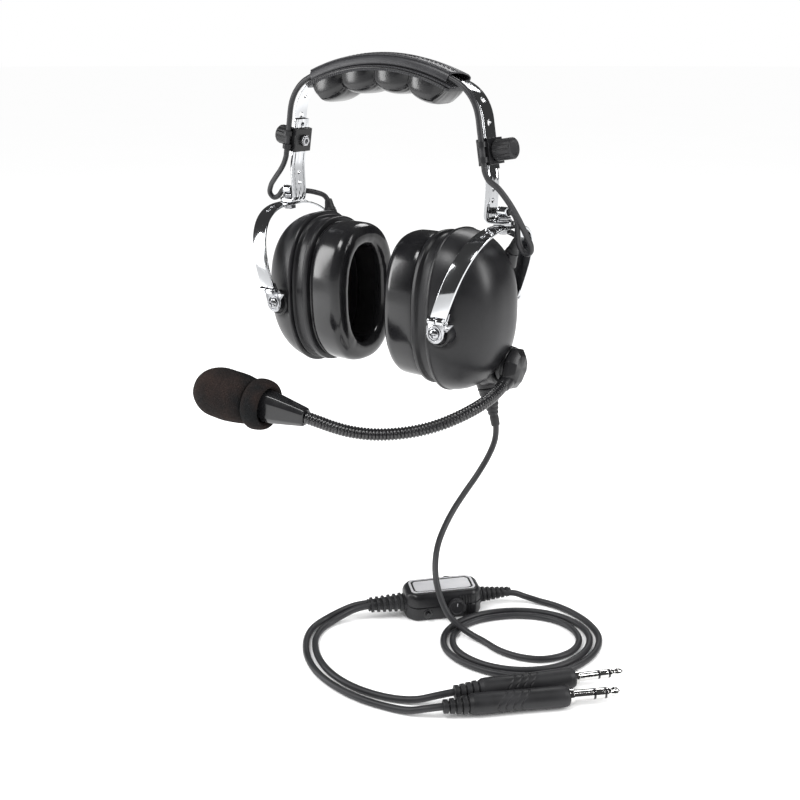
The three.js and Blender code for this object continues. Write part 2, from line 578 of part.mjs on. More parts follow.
// ---- plugs -----------------------------------------------------------------
function buildPlug(name, start, heading, shaftR) {
  const angle = THREE.MathUtils.degToRad(heading);
  const axis = [Math.cos(angle), Math.sin(angle), 0];
  addMesh(`${name}_plug_grip`, turned([
    [0, 0], [2.9, 0], [4.4, 14], [6.2, 17], [6.2, 38], [5.7, 42], [6.2, 46], [6.2, 72], [5.4, 74], [0, 74],
  ], start, axis, 20), BLACK_RUBBER);
  const r = shaftR;
  addMesh(`${name}_plug_shaft`, turned([
    [0, 74 + GAP], [r + 1.2, 74 + GAP], [r + 1.2, 76.5], [r - 0.2, 76.5], [r - 0.2, 78.8], [r, 79], [r, 97], [r * 0.72, 98.4], [r * 0.9, 100.2],
    [r * 0.8, 102.4], [0, 105],
  ], start, axis, 18), STEEL);
}

// ---- control box -----------------------------------------------------------
function buildBox() {
  const group = new THREE.Group();
  group.position.set(BOX.x, BOX.y, FLOOR_Z);
  group.rotation.z = THREE.MathUtils.degToRad(BOX.yaw);
  headset.add(group);

  const hull = (inset, z0, z1) => {
    const [a, b, c] = [BOX.long / 2 - inset, BOX.wide / 2 - inset, 6 - inset];
    const outline = [[-a + c, -b], [a - c, -b], [a, -b + c], [a, b - c], [a - c, b], [-a + c, b], [-a, b - c], [-a, -b + c]];
    const shape = new THREE.Shape(outline.map(([x, y]) => new THREE.Vector2(x, y)));
    return new THREE.ExtrudeGeometry(shape, { depth: z1 - z0, bevelEnabled: false }).translate(0, 0, z0);
  };
  const knobZ = 9.75;
  const shaftHoles = [rod(1.8, -20, 20, [7, 0, knobZ], [0, 1, 0], 12)];
  const jack = rod(1.4, -20, 0, [-12, 0, 5.5], [0, 1, 0], 10);
  const lower = cut(hull(0, 0, BOX.split), hull(BOX.wall, BOX.wall, 30), ...shaftHoles, jack);
  const upper = cut(hull(0, BOX.split + GAP, BOX.tall), hull(BOX.wall, 0, BOX.tall - BOX.wall), ...shaftHoles);
  addMesh('box_lower_shell', lower, BLACK_SATIN, group);
  addMesh('box_upper_shell', upper, BLACK_SATIN, group);
  addMesh('circuit_board', box(-21, 21, -9.4, 9.4, BOX.wall + GAP, BOX.wall + GAP + 1.6), BOARD_GREEN, group);
  for (const [end, sign] of [['front', -1], ['rear', 1]]) {
    const face = BOX.wide / 2 + GAP;
    const wheel = scalloped(5.9, 0.3, 14, 4.2).rotateX(sign < 0 ? Math.PI / 2 : -Math.PI / 2);
    wheel.translate(7, sign * face, knobZ);
    const stem = rod(1.5, 8, face + 1, [7, 0, knobZ], [0, sign, 0], 12);
    addMesh(`${end}_volume_knob`, union(wheel, stem), BLACK_RUBBER, group);
  }

  const end = BOX.long / 2 + GAP;
  const ribs = [[0, end], [5.2, end]];
  for (let i = 0; i < 5; i += 1) {
    const [at, size] = [end + 2.5 + i * 4, 5.2 - i * 0.35];
    ribs.push([size, at], [size - 1.3, at + 0.4], [size - 1.3, at + 2], [size - 0.2, at + 2.2]);
  }
  ribs.push([3.1, end + 22.4], [0, end + 22.4]);
  addMesh('box_cord_relief', turned(ribs, [0, 0, 8.6], [1, 0, 0], 12), BLACK_RUBBER, group);

  const slab = (x0, x1, y, z) => box(-x1, -x0, -y, y, 8.8 - z, 8.8 + z);
  const pieces = [slab(end, end + 24, 5.6, 3.6)];
  for (let i = 0; i < 5; i += 1) pieces.push(slab(end + i * 5, end + i * 5 + 2.6, 7.4 - i * 0.2, 5 - i * 0.15));
  addMesh('plug_cords_relief', union(...pieces), BLACK_RUBBER, group);
}

// ---- assembly --------------------------------------------------------------
for (const side of ['left', 'right']) {
  const parent = new THREE.Group();
  parent.scale.x = side === 'right' ? -1 : 1;
  headset.add(parent);
  const boots = side === 'left' ? LEFT_BOOT : RIGHT_BOOT;
  const extras = [bootSeat(boots, side === 'left' ? 9 : 6)];
  const holes = [];
  if (side === 'left') {
    extras.push(rod(15, 76, BOOM_BOSS_X, [0, BOOM_Y, BOOM_Z], [1, 0, 0], 24));
    extras.push(rod(7.6, -14, 0, GLAND_TOP.toArray(), GLAND_AXIS.toArray(), 20));
    holes.push(rod(4.3, 73, 99, [0, BOOM_Y, BOOM_Z], [1, 0, 0], 18));
    holes.push(rod(13, BOOM_BOSS_X, 110, [0, BOOM_Y, BOOM_Z], [1, 0, 0], 28));
  }
  buildCup(side, parent, extras, holes);
  buildYoke(side, parent);
  buildArm(side, parent);
  addMesh(`${side}_cable_loop`, tube(side === 'left' ? LEFT_LOOP : RIGHT_LOOP, CABLE_R, 8, 20), BLACK_RUBBER, parent);
  const tail = tube(side === 'left' ? LEFT_TAIL : RIGHT_TAIL, CABLE_R, 8, 15);
  addMesh(`${side}_cable_tail`, union(tail, boot(boots)), BLACK_RUBBER, parent);
}
buildHeadband();
buildBoom();
buildCords();
buildPlug('headphone', [145.8, -140.2, FLOOR_Z + 6.3], 45, 3.17);
buildPlug('mic', [143, -125, FLOOR_Z + 6.3], 48.5, 2.6);
buildBox();

export default headset;
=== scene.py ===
"""Aviation headset: its visible pieces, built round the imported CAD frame.

Sizes inside the classes are millimetres; meshes are written in metres, +Z up, +X to the
wearer's left, and the wearer faces -Y.
"""

import logging
import math
from dataclasses import dataclass, field
from enum import Enum
from typing import Callable, List, Optional, Sequence, Tuple

import bmesh
import bpy
import numpy as np
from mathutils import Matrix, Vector


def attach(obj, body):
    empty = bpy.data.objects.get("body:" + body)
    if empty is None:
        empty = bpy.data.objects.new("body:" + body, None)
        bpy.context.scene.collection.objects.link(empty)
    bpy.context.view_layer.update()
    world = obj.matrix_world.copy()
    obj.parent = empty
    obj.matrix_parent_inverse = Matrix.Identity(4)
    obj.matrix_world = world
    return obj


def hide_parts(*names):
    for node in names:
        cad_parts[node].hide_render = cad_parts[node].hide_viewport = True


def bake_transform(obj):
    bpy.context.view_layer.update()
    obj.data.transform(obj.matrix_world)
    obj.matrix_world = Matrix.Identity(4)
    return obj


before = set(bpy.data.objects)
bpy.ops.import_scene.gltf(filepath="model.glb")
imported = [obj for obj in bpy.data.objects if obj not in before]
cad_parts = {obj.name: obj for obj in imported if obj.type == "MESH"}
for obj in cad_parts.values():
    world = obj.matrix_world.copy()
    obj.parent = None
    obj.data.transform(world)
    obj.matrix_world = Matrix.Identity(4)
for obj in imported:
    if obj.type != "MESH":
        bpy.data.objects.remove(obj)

LOG = logging.getLogger("headset")
MM = 0.001
WELD = 2e-6  # points nearer than this, in metres, are one point
UP = np.array([0.0, 0.0, 1.0])
Array = np.ndarray
RadiusShape = Callable[[np.ndarray, np.ndarray], np.ndarray]
Colour = Tuple[float, float, float]
Point = Tuple[float, float, float]


# ---- finishes ----------------------------------------------------------------
class Grain(Enum):
    """How a finish's fine surface is drawn."""

    MOULDED = "fine pits of moulded plastic"
    HIDE = "pebbled leatherette"
    CELLS = "open foam cells"
    METAL = "faint polishing marks"
    RUBBER = "dull extruded jacket"


@dataclass(frozen=True)
class Finish:
    """One finish: its colours, gloss and relief, and the record's slot that it belongs to."""

    name: str
    slot: str
    colour: Colour
    worn: Colour
    grain: Grain
    roughness: Tuple[float, float]
    grain_mm: float
    relief_mm: float
    metallic: float = 0.0
    coat: float = 0.0
    sheen: float = 0.0
    specular: float = 0.5

    def material(self) -> bpy.types.Material:
        """Make the node material, or find it if it was made before.

        Returns:
            A material whose colour, roughness and bump come from noise on Object coordinates.
        """
        found = bpy.data.materials.get(self.name)
        if found:
            return found
        made = bpy.data.materials.new(self.name)
        made.use_nodes = True
        nodes, links = made.node_tree.nodes, made.node_tree.links
        shader = nodes["Principled BSDF"]
        shader.inputs["Metallic"].default_value = self.metallic
        shader.inputs["Coat Weight"].default_value = self.coat
        shader.inputs["Coat Roughness"].default_value = 0.08
        shader.inputs["Sheen Weight"].default_value = self.sheen
        shader.inputs["Sheen Roughness"].default_value = 0.45
        shader.inputs["Specular IOR Level"].default_value = self.specular
        place = nodes.new("ShaderNodeTexCoord").outputs["Object"]
        if self.grain is Grain.METAL:
            stretch = nodes.new("ShaderNodeMapping")
            stretch.inputs["Scale"].default_value = (1.0, 1.0, 0.08)
            links.new(place, stretch.inputs["Vector"])
            fine_place = stretch.outputs["Vector"]
        else:
            fine_place = place
        fine = self._pattern(nodes, links, fine_place, 1.0 / (self.grain_mm * MM))
        broad = nodes.new("ShaderNodeTexNoise")
        broad.inputs["Scale"].default_value = 55.0
        broad.inputs["Detail"].default_value = 4.0
        links.new(place, broad.inputs["Vector"])

        ramp = nodes.new("ShaderNodeValToRGB")
        ramp.color_ramp.elements[0].position = 0.35
        ramp.color_ramp.elements[0].color = (*self.colour, 1.0)
        ramp.color_ramp.elements[1].position = 0.68
        ramp.color_ramp.elements[1].color = (*self.worn, 1.0)
        links.new(broad.outputs["Fac"], ramp.inputs["Fac"])
        colour = ramp.outputs["Color"]
        # Painted shade: for open cells and pebbled leatherette the colour is scaled by the same cell pattern as
        # the bump, darker in the pits and lighter on the rims between them.
        if self.grain in (Grain.CELLS, Grain.HIDE):
            pits = nodes.new("ShaderNodeMapRange")
            pits.inputs["To Min"].default_value = 0.45 if self.grain is Grain.CELLS else 0.75
            pits.inputs["To Max"].default_value = 1.5 if self.grain is Grain.CELLS else 1.1
            links.new(fine, pits.inputs["Value"])
            shade = nodes.new("ShaderNodeVectorMath")
            shade.operation = "SCALE"
            links.new(colour, shade.inputs[0])
            links.new(pits.outputs["Result"], shade.inputs["Scale"])
            colour = shade.outputs["Vector"]
        links.new(colour, shader.inputs["Base Color"])

        gloss = nodes.new("ShaderNodeMapRange")
        gloss.inputs["From Min"].default_value = 0.3
        gloss.inputs["From Max"].default_value = 0.7
        gloss.inputs["To Min"].default_value = self.roughness[0]
        gloss.inputs["To Max"].default_value = self.roughness[1]
        links.new(broad.outputs["Fac"], gloss.inputs["Value"])
        links.new(gloss.outputs["Result"], shader.inputs["Roughness"])

        bump = nodes.new("ShaderNodeBump")
        bump.inputs["Strength"].default_value = 0.9
        bump.inputs["Distance"].default_value = self.relief_mm * MM
        links.new(fine, bump.inputs["Height"])
        links.new(bump.outputs["Normal"], shader.inputs["Normal"])
        return made

    def _pattern(self, nodes: bpy.types.Nodes, links: bpy.types.NodeLinks, place: bpy.types.NodeSocket,
                 scale: float) -> bpy.types.NodeSocket:
        """Make the fine pattern's nodes.

        Args:
            nodes: the tree's nodes.
            links: the tree's links.
            place: the coordinates that it reads.
            scale: grains per metre.

        Returns:
            The socket with the pattern's height, about 0 to 1.
        """
        if self.grain in (Grain.HIDE, Grain.CELLS):
            cells = nodes.new("ShaderNodeTexVoronoi")
            cells.feature = "SMOOTH_F1" if self.grain is Grain.HIDE else "F1"
            cells.inputs["Scale"].default_value = scale
            links.new(place, cells.inputs["Vector"])
            return cells.outputs["Distance"]
        noise = nodes.new("ShaderNodeTexNoise")
        noise.inputs["Scale"].default_value = scale
        noise.inputs["Detail"].default_value = 3.0
        noise.inputs["Roughness"].default_value = 0.6
        links.new(place, noise.inputs["Vector"])
        return noise.outputs["Fac"]

    def dress(self, piece: bpy.types.Object) -> None:
        """Give a piece this finish alone."""
        piece.data.materials.clear()
        piece.data.materials.append(self.material())


CHROME = Finish("chrome_plate", "chrome", (0.62, 0.63, 0.645), (0.54, 0.55, 0.565), Grain.METAL, (0.05, 0.13),
        0.6, 0.004, metallic=1.0)
STEEL = Finish("zinc_steel", "steel", (0.46, 0.465, 0.48), (0.36, 0.365, 0.38), Grain.METAL, (0.14, 0.26),
        0.5, 0.01, metallic=1.0)
NICKEL = Finish("nickel_plate", "nickel", (0.66, 0.655, 0.645), (0.58, 0.575, 0.565), Grain.METAL,
        (0.07, 0.16), 0.5, 0.004, metallic=1.0)
SATIN = Finish("satin_black_plastic", "satin_plastic", (0.008, 0.008, 0.009), (0.0135, 0.0135, 0.015),
        Grain.MOULDED, (0.3, 0.38), 0.5, 0.012, specular=0.36)
GLOSS = Finish("polished_black_plastic", "gloss_plastic", (0.008, 0.008, 0.009), (0.014, 0.014, 0.015),
        Grain.MOULDED, (0.12, 0.2), 0.9, 0.006, coat=0.15, specular=0.4)
VINYL = Finish("black_seal_vinyl", "seal_vinyl", (0.007, 0.007, 0.008), (0.013, 0.013, 0.014), Grain.HIDE,
        (0.13, 0.22), 0.9, 0.015, coat=0.15, specular=0.42)
PAD_HIDE = Finish("black_pad_leatherette", "pad_leather", (0.006, 0.006, 0.007), (0.012, 0.012, 0.013),
        Grain.HIDE, (0.18, 0.29), 0.8, 0.03, coat=0.1, specular=0.4)
COVER_HIDE = Finish("grey_cover_leatherette", "cover_leather", (0.018, 0.018, 0.021), (0.03, 0.03, 0.034),
        Grain.HIDE, (0.34, 0.46), 0.7, 0.04, sheen=0.05, specular=0.4)
CONDUIT = Finish("black_conduit_paint", "gooseneck_black", (0.011, 0.011, 0.012), (0.02, 0.02, 0.021),
        Grain.MOULDED, (0.13, 0.2), 0.5, 0.004, coat=0.3)
FOAM = Finish("open_cell_foam", "foam", (0.007, 0.0075, 0.008), (0.021, 0.0135, 0.0115), Grain.CELLS,
        (0.9, 0.98), 0.8, 0.6, specular=0.15)
JACKET = Finish("cable_jacket", "cable_rubber", (0.017, 0.017, 0.019), (0.026, 0.026, 0.028), Grain.RUBBER,
        (0.38, 0.5), 0.6, 0.015, specular=0.4)
RUBBER = Finish("moulded_rubber", "grip_rubber", (0.01, 0.01, 0.011), (0.018, 0.018, 0.02), Grain.RUBBER,
        (0.4, 0.55), 0.5, 0.03, specular=0.38)
BOARD = Finish("circuit_board_green", "board_green", (0.02, 0.13, 0.05), (0.03, 0.19, 0.08), Grain.MOULDED,
        (0.35, 0.5), 1.5, 0.01)
SILVER = Finish("silver_plate", "steel", (0.9, 0.9, 0.92), (0.8, 0.8, 0.82), Grain.METAL, (0.4, 0.5), 0.5,
        0.012, metallic=1.0)


# ---- mesh helpers --------------------------------------------------------------
def grid_faces(rows: int, cols: int, wrap_rows: bool, wrap_cols: bool) -> Array:
    """Corner numbers of the four-sided faces between neighbouring points of a grid.

    Args:
        rows: rows of points.
        cols: points in a row.
        wrap_rows: whether the last row joins the first.
        wrap_cols: whether the last point of a row joins the first.

    Returns:
        An array of (faces, 4).
    """
    i, j = np.meshgrid(np.arange(rows - (not wrap_rows)), np.arange(cols - (not wrap_cols)), indexing="ij")
    down, right = (i + 1) % rows, (j + 1) % cols
    return np.stack([i * cols + j, i * cols + right, down * cols + right, down * cols + j], -1).reshape(-1, 4)


def placed(name: str, data: bpy.types.ID) -> bpy.types.Object:
    """Put a mesh, lamp or camera into the scene as an object at the origin.

    Args:
        name: the object's name.
        data: what it shows.

    Returns:
        The new object.
    """
    made = bpy.data.objects.new(name, data)
    bpy.context.scene.collection.objects.link(made)
    return made


def creased(mesh: bpy.types.Mesh, degrees: float) -> bpy.types.Mesh:
    """Shade a mesh smooth, but for edges that turn more than an angle.

    Args:
        mesh: the mesh.
        degrees: the angle.

    Returns:
        The same mesh.
    """
    mesh.shade_smooth()
    mesh.set_sharp_from_angle(angle=math.radians(degrees))
    return mesh


def mesh_piece(name: str, points: Array, faces: Sequence, sharp: float = 35.0) -> bpy.types.Object:
    """Put points and faces into a mesh, join doubles, and turn every face outwards.

    Args:
        name: the piece's name.
        points: (n, 3) in millimetres.
        faces: lists of corner numbers.
        sharp: edges that turn more than this many degrees stay crisp.

    Returns:
        The new object, at the origin.
    """
    mesh = bpy.data.meshes.new(name)
    mesh.from_pydata((np.asarray(points, float) * MM).tolist(), [], faces)
    work = bmesh.new()
    work.from_mesh(mesh)
    bmesh.ops.remove_doubles(work, verts=work.verts, dist=WELD)
    bmesh.ops.recalc_face_normals(work, faces=work.faces)
    work.to_mesh(mesh)
    work.free()
    return placed(name, creased(mesh, sharp))


def surface(name: str, points: Array, wrap_rows: bool = False, wrap_cols: bool = True,
        sharp: float = 35.0) -> bpy.types.Object:
    """Join a grid of points into a closed piece; open ends get a fan of faces round their mean point.

    Args:
        name: the piece's name.
        points: (rows, cols, 3) in millimetres.
        wrap_rows: whether the last row joins the first.
        wrap_cols: whether the last point of a row joins the first.
        sharp: edges that turn more than this stay crisp.

    Returns:
        The new piece.
    """
    rows, cols = points.shape[:2]
    flat = points.reshape(-1, 3)
    faces = grid_faces(rows, cols, wrap_rows, wrap_cols).tolist()
    if not wrap_rows and wrap_cols:
        ends = np.array([points[0].mean(0), points[-1].mean(0)])
        flat = np.vstack([flat, ends])
        around = np.arange(cols)
        first = np.stack([around, np.roll(around, -1), np.full(cols, rows * cols)], 1)
        last = np.stack([around + (rows - 1) * cols, np.roll(around, -1) + (rows - 1) * cols,
                np.full(cols, rows * cols + 1)], 1)
        faces += first.tolist() + last.tolist()
    return mesh_piece(name, flat, faces, sharp)


def rounded(corners: Sequence, radius: float, steps: int = 4, closed: bool = False) -> Array:
    """Round the corners of a line.

    Each corner c becomes the curve (1-s)^2 a + 2 s (1-s) c + s^2 b between the points a and b
    that lie a radius before and after it.

    Args:
        corners: the line's corners.
        radius: how far the rounding reaches.
        steps: points for each corner.
        closed: whether the line is a loop.

    Returns:
        The rounded line's points.
    """
    p = np.asarray(corners, float)

    def toward(other: Array) -> Array:
        """Points a radius from each corner towards another, or 0.45 of the way where that is nearer."""
        long = np.maximum(np.linalg.norm(other - p, axis=1), 1e-9)
        return p + (other - p) * np.minimum(radius / long, 0.45)[:, None]

    a, b = toward(np.roll(p, 1, 0)), toward(np.roll(p, -1, 0))
    s = np.linspace(0.0, 1.0, steps)[None, :, None]
    curve = (1 - s) ** 2 * a[:, None] + 2 * s * (1 - s) * p[:, None] + s**2 * b[:, None]
    if not closed:
        curve[0], curve[-1] = p[0], p[-1]
    return curve.reshape(-1, p.shape[1])


def axes_of(axis: Sequence[float]) -> Tuple[Array, Array, Array]:
    """Two unit vectors across an axis, and the axis as a unit vector.

    Args:
        axis: the axis, of any length.

    Returns:
        The three vectors, each at right angles to the others.
    """
    w = np.asarray(axis, float) / np.linalg.norm(axis)
    ref = np.array([0.0, 0.0, 1.0]) if abs(w[2]) < 0.9 else np.array([1.0, 0.0, 0.0])
    u = np.cross(ref, w)
    u /= np.linalg.norm(u)
    return u, np.cross(w, u), w


def lathe(name: str, profile: Sequence, origin: Sequence[float], axis: Sequence[float], segments: int = 48,
        soft: float = 0.4,
          shape: Optional[RadiusShape] = None, sharp: float = 35.0, closed: bool = False) -> bpy.types.Object:
    """Turn a profile about an axis.

    A point is origin + along * axis + radius * (cos a * u + sin a * v), with the radius times
    shape(along, a) where a shape is given.

    Args:
        name: the piece's name.
        profile: [radius, along] corners, in millimetres.
        origin: where along is 0.
        axis: the direction that along grows in.
        segments: points round the axis.
        soft: radius of the rounded corners.
        shape: factor on the radius, for flutes, flats and lumps.
        sharp: edges that turn more than this stay crisp.
        closed: whether the profile is a loop.

    Returns:
        The new piece.
    """
    line = rounded(profile, soft, closed=closed)
    angle = np.arange(segments) / segments * 2 * math.pi
    radius, along = np.meshgrid(line[:, 0], angle, indexing="ij")[0], line[:, 1][:, None] + np.zeros(segments)
    if shape is not None:
        radius = radius * shape(along, angle[None, :] + np.zeros_like(along))
    u, v, w = axes_of(axis)
    points = (np.asarray(origin, float) + along[..., None] * w
              + radius[..., None] * (np.cos(angle)[None, :, None] * u + np.sin(angle)[None, :, None] * v))
    return surface(name, points, wrap_rows=closed, sharp=sharp)


def flats(count: int) -> RadiusShape:
    """A factor that turns a circle into a polygon of that many sides, inside the circle."""
    step = 2 * math.pi / count
    return lambda along, angle: math.cos(step / 2) / np.cos((angle % step) - step / 2)


def smooth_route(corners: Sequence, spacing: float) -> Array:
    """Points a fixed distance apart on the centripetal Catmull-Rom curve through the corners.

    Each span is a Hermite cubic whose end slopes come from the square roots of the distances
    between its four neighbouring corners, and the curve is then resampled by its length.

    Args:
        corners: the route's corners.
        spacing: the distance between points.

    Returns:
        (n, 3) points.
    """
    p = np.asarray(corners, float)
    p = np.vstack([2 * p[0] - p[1], p, 2 * p[-1] - p[-2]])
    gaps = np.maximum(np.linalg.norm(np.diff(p, axis=0), axis=1) ** 0.5, 1e-4)[:, None]
    x0, x1, x2, x3 = p[:-3], p[1:-2], p[2:-1], p[3:]
    d0, d1, d2 = gaps[:-2], gaps[1:-1], gaps[2:]
    t1 = ((x1 - x0) / d0 - (x2 - x0) / (d0 + d1) + (x2 - x1) / d1) * d1
    t2 = ((x2 - x1) / d1 - (x3 - x1) / (d1 + d2) + (x3 - x2) / d2) * d1
    s = np.linspace(0.0, 1.0, 24, endpoint=False)[None, :, None]
    a, b, c, d = x1[:, None], t1[:, None], x2[:, None], t2[:, None]
    curve = (2 * a - 2 * c + b + d) * s**3 + (-3 * a + 3 * c - 2 * b - d) * s**2 + b * s + a
    fine = np.vstack([curve.reshape(-1, 3), p[-2]])
    run = np.concatenate([[0.0], np.cumsum(np.linalg.norm(np.diff(fine, axis=0), axis=1))])
    at = np.linspace(0.0, run[-1], max(int(run[-1] / spacing), 2) + 1)
    return np.stack([np.interp(at, run, fine[:, k]) for k in range(3)], 1)


def moving_frames(line: Array) -> Tuple[Array, Array, Array]:
    """Tangent and two crosswise unit vectors at each point, turned as little as possible.

    The loop runs along the route, because each frame comes from the one before by two reflections.

    Args:
        line: the route's points.

    Returns:
        Tangents, side vectors and lift vectors.
    """
    tangent = np.gradient(line, axis=0)
    tangent /= np.linalg.norm(tangent, axis=1)[:, None]
    side = np.zeros_like(line)
    side[0] = axes_of(tangent[0])[0]
    for i in range(len(line) - 1):
        gap = line[i + 1] - line[i]
        c1 = gap @ gap
        across = side[i] - 2 / c1 * (gap @ side[i]) * gap
        turned = tangent[i] - 2 / c1 * (gap @ tangent[i]) * gap
        rest = tangent[i + 1] - turned
        c2 = max(rest @ rest, 1e-12)
        side[i + 1] = across - 2 / c2 * (rest @ across) * rest
    return tangent, side, np.cross(tangent, side)


def tube(name: str, route: Sequence, radius: float, sides: int = 16, spacing: float = 1.5,
         swell: Optional[Callable[[Array], Array]] = None) -> Tuple[bpy.types.Object, Array]:
    """A round tube along a route.

    Args:
        name: the piece's name.
        route: corners of its middle line, in millimetres.
        radius: its radius.
        sides: points round it.
        spacing: distance between rings.
        swell: factor on the radius from the distance along the tube, for ribs.

    Returns:
        The piece, and the ring centres in metres.
    """
    line = smooth_route(route, spacing)
    _, side, lift = moving_frames(line)
    run = np.concatenate([[0.0], np.cumsum(np.linalg.norm(np.diff(line, axis=0), axis=1))])
    size = np.full(len(line), radius) if swell is None else radius * swell(run)
    angle = np.arange(sides) / sides * 2 * math.pi
    ring = np.cos(angle)[None, :, None] * side[:, None] + np.sin(angle)[None, :, None] * lift[:, None]
    return surface(name, line[:, None] + size[:, None, None] * ring, sharp=50), line * MM


def sweep(name: str, line: Array, side: Array, lift: Array, section: Array,
        sharp: float = 35.0) -> bpy.types.Object:
    """Carry a closed section along a line: point = line + section x * side + section y * lift.

    Args:
        name: the piece's name.
        line: the middle line's points.
        side: the section's first direction at each point.
        lift: its second direction at each point.
        section: one section for all points, or one for each.
        sharp: edges that turn more than this stay crisp.

    Returns:
        The new piece.
    """
    section = np.broadcast_to(section, (len(line), *section.shape[-2:]))
    points = line[:, None] + section[..., :1] * side[:, None] + section[..., 1:] * lift[:, None]
    return surface(name, points, sharp=sharp)


def rectangle(width: float, height: float, radius: float) -> Array:
    """A rounded rectangle as a closed section."""
    a, b = width / 2, height / 2
    return rounded([[-a, -b], [a, -b], [a, b], [-a, b]], radius, 4, closed=True)


def plate(name: str, outline: Sequence, thick: float, origin: Sequence[float], across: Sequence[float],
        up: Sequence[float],
          bevel: float = 0.3) -> bpy.types.Object:
    """A flat plate with bevelled edges: origin + x * across + y * up, half its thickness each way.

    Args:
        name: the piece's name.
        outline: its (x, y) corners.
        thick: its thickness.
        origin: where x and y are 0.
        across: the direction of x.
        up: the direction of y.
        bevel: the width of the bevel.

    Returns:
        The new piece.
    """
    shape = np.asarray(outline, float)
    across, up = np.asarray(across, float), np.asarray(up, float)
    normal = np.cross(across, up)
    flat = np.asarray(origin, float) + shape[:, :1] * across + shape[:, 1:] * up
    count = len(shape)
    i = np.arange(count)
    points = np.vstack([flat - normal * thick / 2, flat + normal * thick / 2])
    faces = [i.tolist(), (i + count).tolist()] + np.stack([i, np.roll(i, -1), np.roll(i, -1) + count,
            i + count], 1).tolist()
    return soften(mesh_piece(name, points, faces, 30), bevel)


def soften(piece: bpy.types.Object, width: float) -> bpy.types.Object:
    """Bevel a piece's hard edges.

    Args:
        piece: the piece.
        width: the bevel's width.

    Returns:
        The same piece.
    """
    bevel = piece.modifiers.new("edge", "BEVEL")
    bevel.width, bevel.segments, bevel.limit_method = width * MM, 2, "ANGLE"
    bevel.angle_limit = math.radians(32.0)
    bevel.harden_normals = True
    return piece


def joined(name: str, pieces: Sequence[bpy.types.Object]) -> bpy.types.Object:
    """Join pieces, with their modifiers applied, into one new piece.

    Args:
        name: the new piece's name.
        pieces: the pieces, which are removed.

    Returns:
        The new piece.
    """
    bpy.context.view_layer.update()
    graph = bpy.context.evaluated_depsgraph_get()
    work = bmesh.new()
    for piece in pieces:
        work.from_mesh(piece.evaluated_get(graph).to_mesh())
    mesh = bpy.data.meshes.new(name)
    work.to_mesh(mesh)
    work.free()
    creased(mesh, 35)
    for piece in pieces:
        bpy.data.objects.remove(piece)
    return placed(name, mesh)


def punch(piece: bpy.types.Object, cutters: Sequence[bpy.types.Object]) -> bpy.types.Object:
    """Cut shapes out of a piece.

    Args:
        piece: the piece.
        cutters: the shapes to cut out, which are removed.

    Returns:
        The same piece.
    """
    for cutter in cutters:
        cut = piece.modifiers.new("hole", "BOOLEAN")
        cut.operation, cut.solver, cut.object = "DIFFERENCE", "EXACT", cutter
    bpy.context.view_layer.update()
    graph = bpy.context.evaluated_depsgraph_get()
    mesh = bpy.data.meshes.new_from_object(piece.evaluated_get(graph))
    piece.modifiers.clear()
    piece.data = mesh
    mesh.set_sharp_from_angle(angle=math.radians(35))
    for cutter in cutters:
        bpy.data.objects.remove(cutter)
    return piece


def clean_copy(node: str, name: str, bevel: float) -> bpy.types.Object:
    """A copy of a CAD node with its doubles joined and its edges bevelled.

    Args:
        node: the CAD node.
        name: the copy's name.
        bevel: the bevel's width.

    Returns:
        The copy.
    """
    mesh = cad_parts[node].data.copy()
    mesh.name = name
    work = bmesh.new()
    work.from_mesh(mesh)
    bmesh.ops.remove_doubles(work, verts=work.verts, dist=WELD)
    bmesh.ops.dissolve_limit(work, angle_limit=math.radians(1.0), verts=work.verts, edges=work.edges)
    work.to_mesh(mesh)
    work.free()
    return soften(placed(name, creased(mesh, 30)), bevel)


@dataclass
class Assembly:
    """A sub-assembly: it keeps what it made and reports each piece."""

    made: List[bpy.types.Object] = field(default_factory=list)

    def fit(self, piece: bpy.types.Object, finish: Finish, body: str, *nodes: str) -> bpy.types.Object:
        """Dress a piece, make it ride on a body, and let it stand for CAD nodes.

        Args:
            piece: the piece.
            finish: what it is made of.
            body: the CAD body that it moves with.
            nodes: the CAD nodes that it replaces.

        Returns:
            The same piece.
        """
        finish.dress(piece)
        self.note(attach(piece, body), finish, *nodes)
        return piece

    def note(self, piece: bpy.types.Object, finish: Finish, *nodes: str) -> None:
        """Hide the CAD nodes that a placed piece stands for, keep the piece, and log it with them.

        Args:
            piece: the piece.
            finish: not used.
            nodes: the CAD nodes that it replaces.
        """
        if nodes:
            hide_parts(*nodes)
        self.made.append(piece)
        LOG.info("%s: %d faces, for %s", piece.name, len(piece.data.polygons), ", ".join(nodes) or "detail")


def side_sign(side: str) -> float:
    """+1 for the wearer's left, which is +X, and -1 for the right."""
    return 1.0 if side == "left" else -1.0


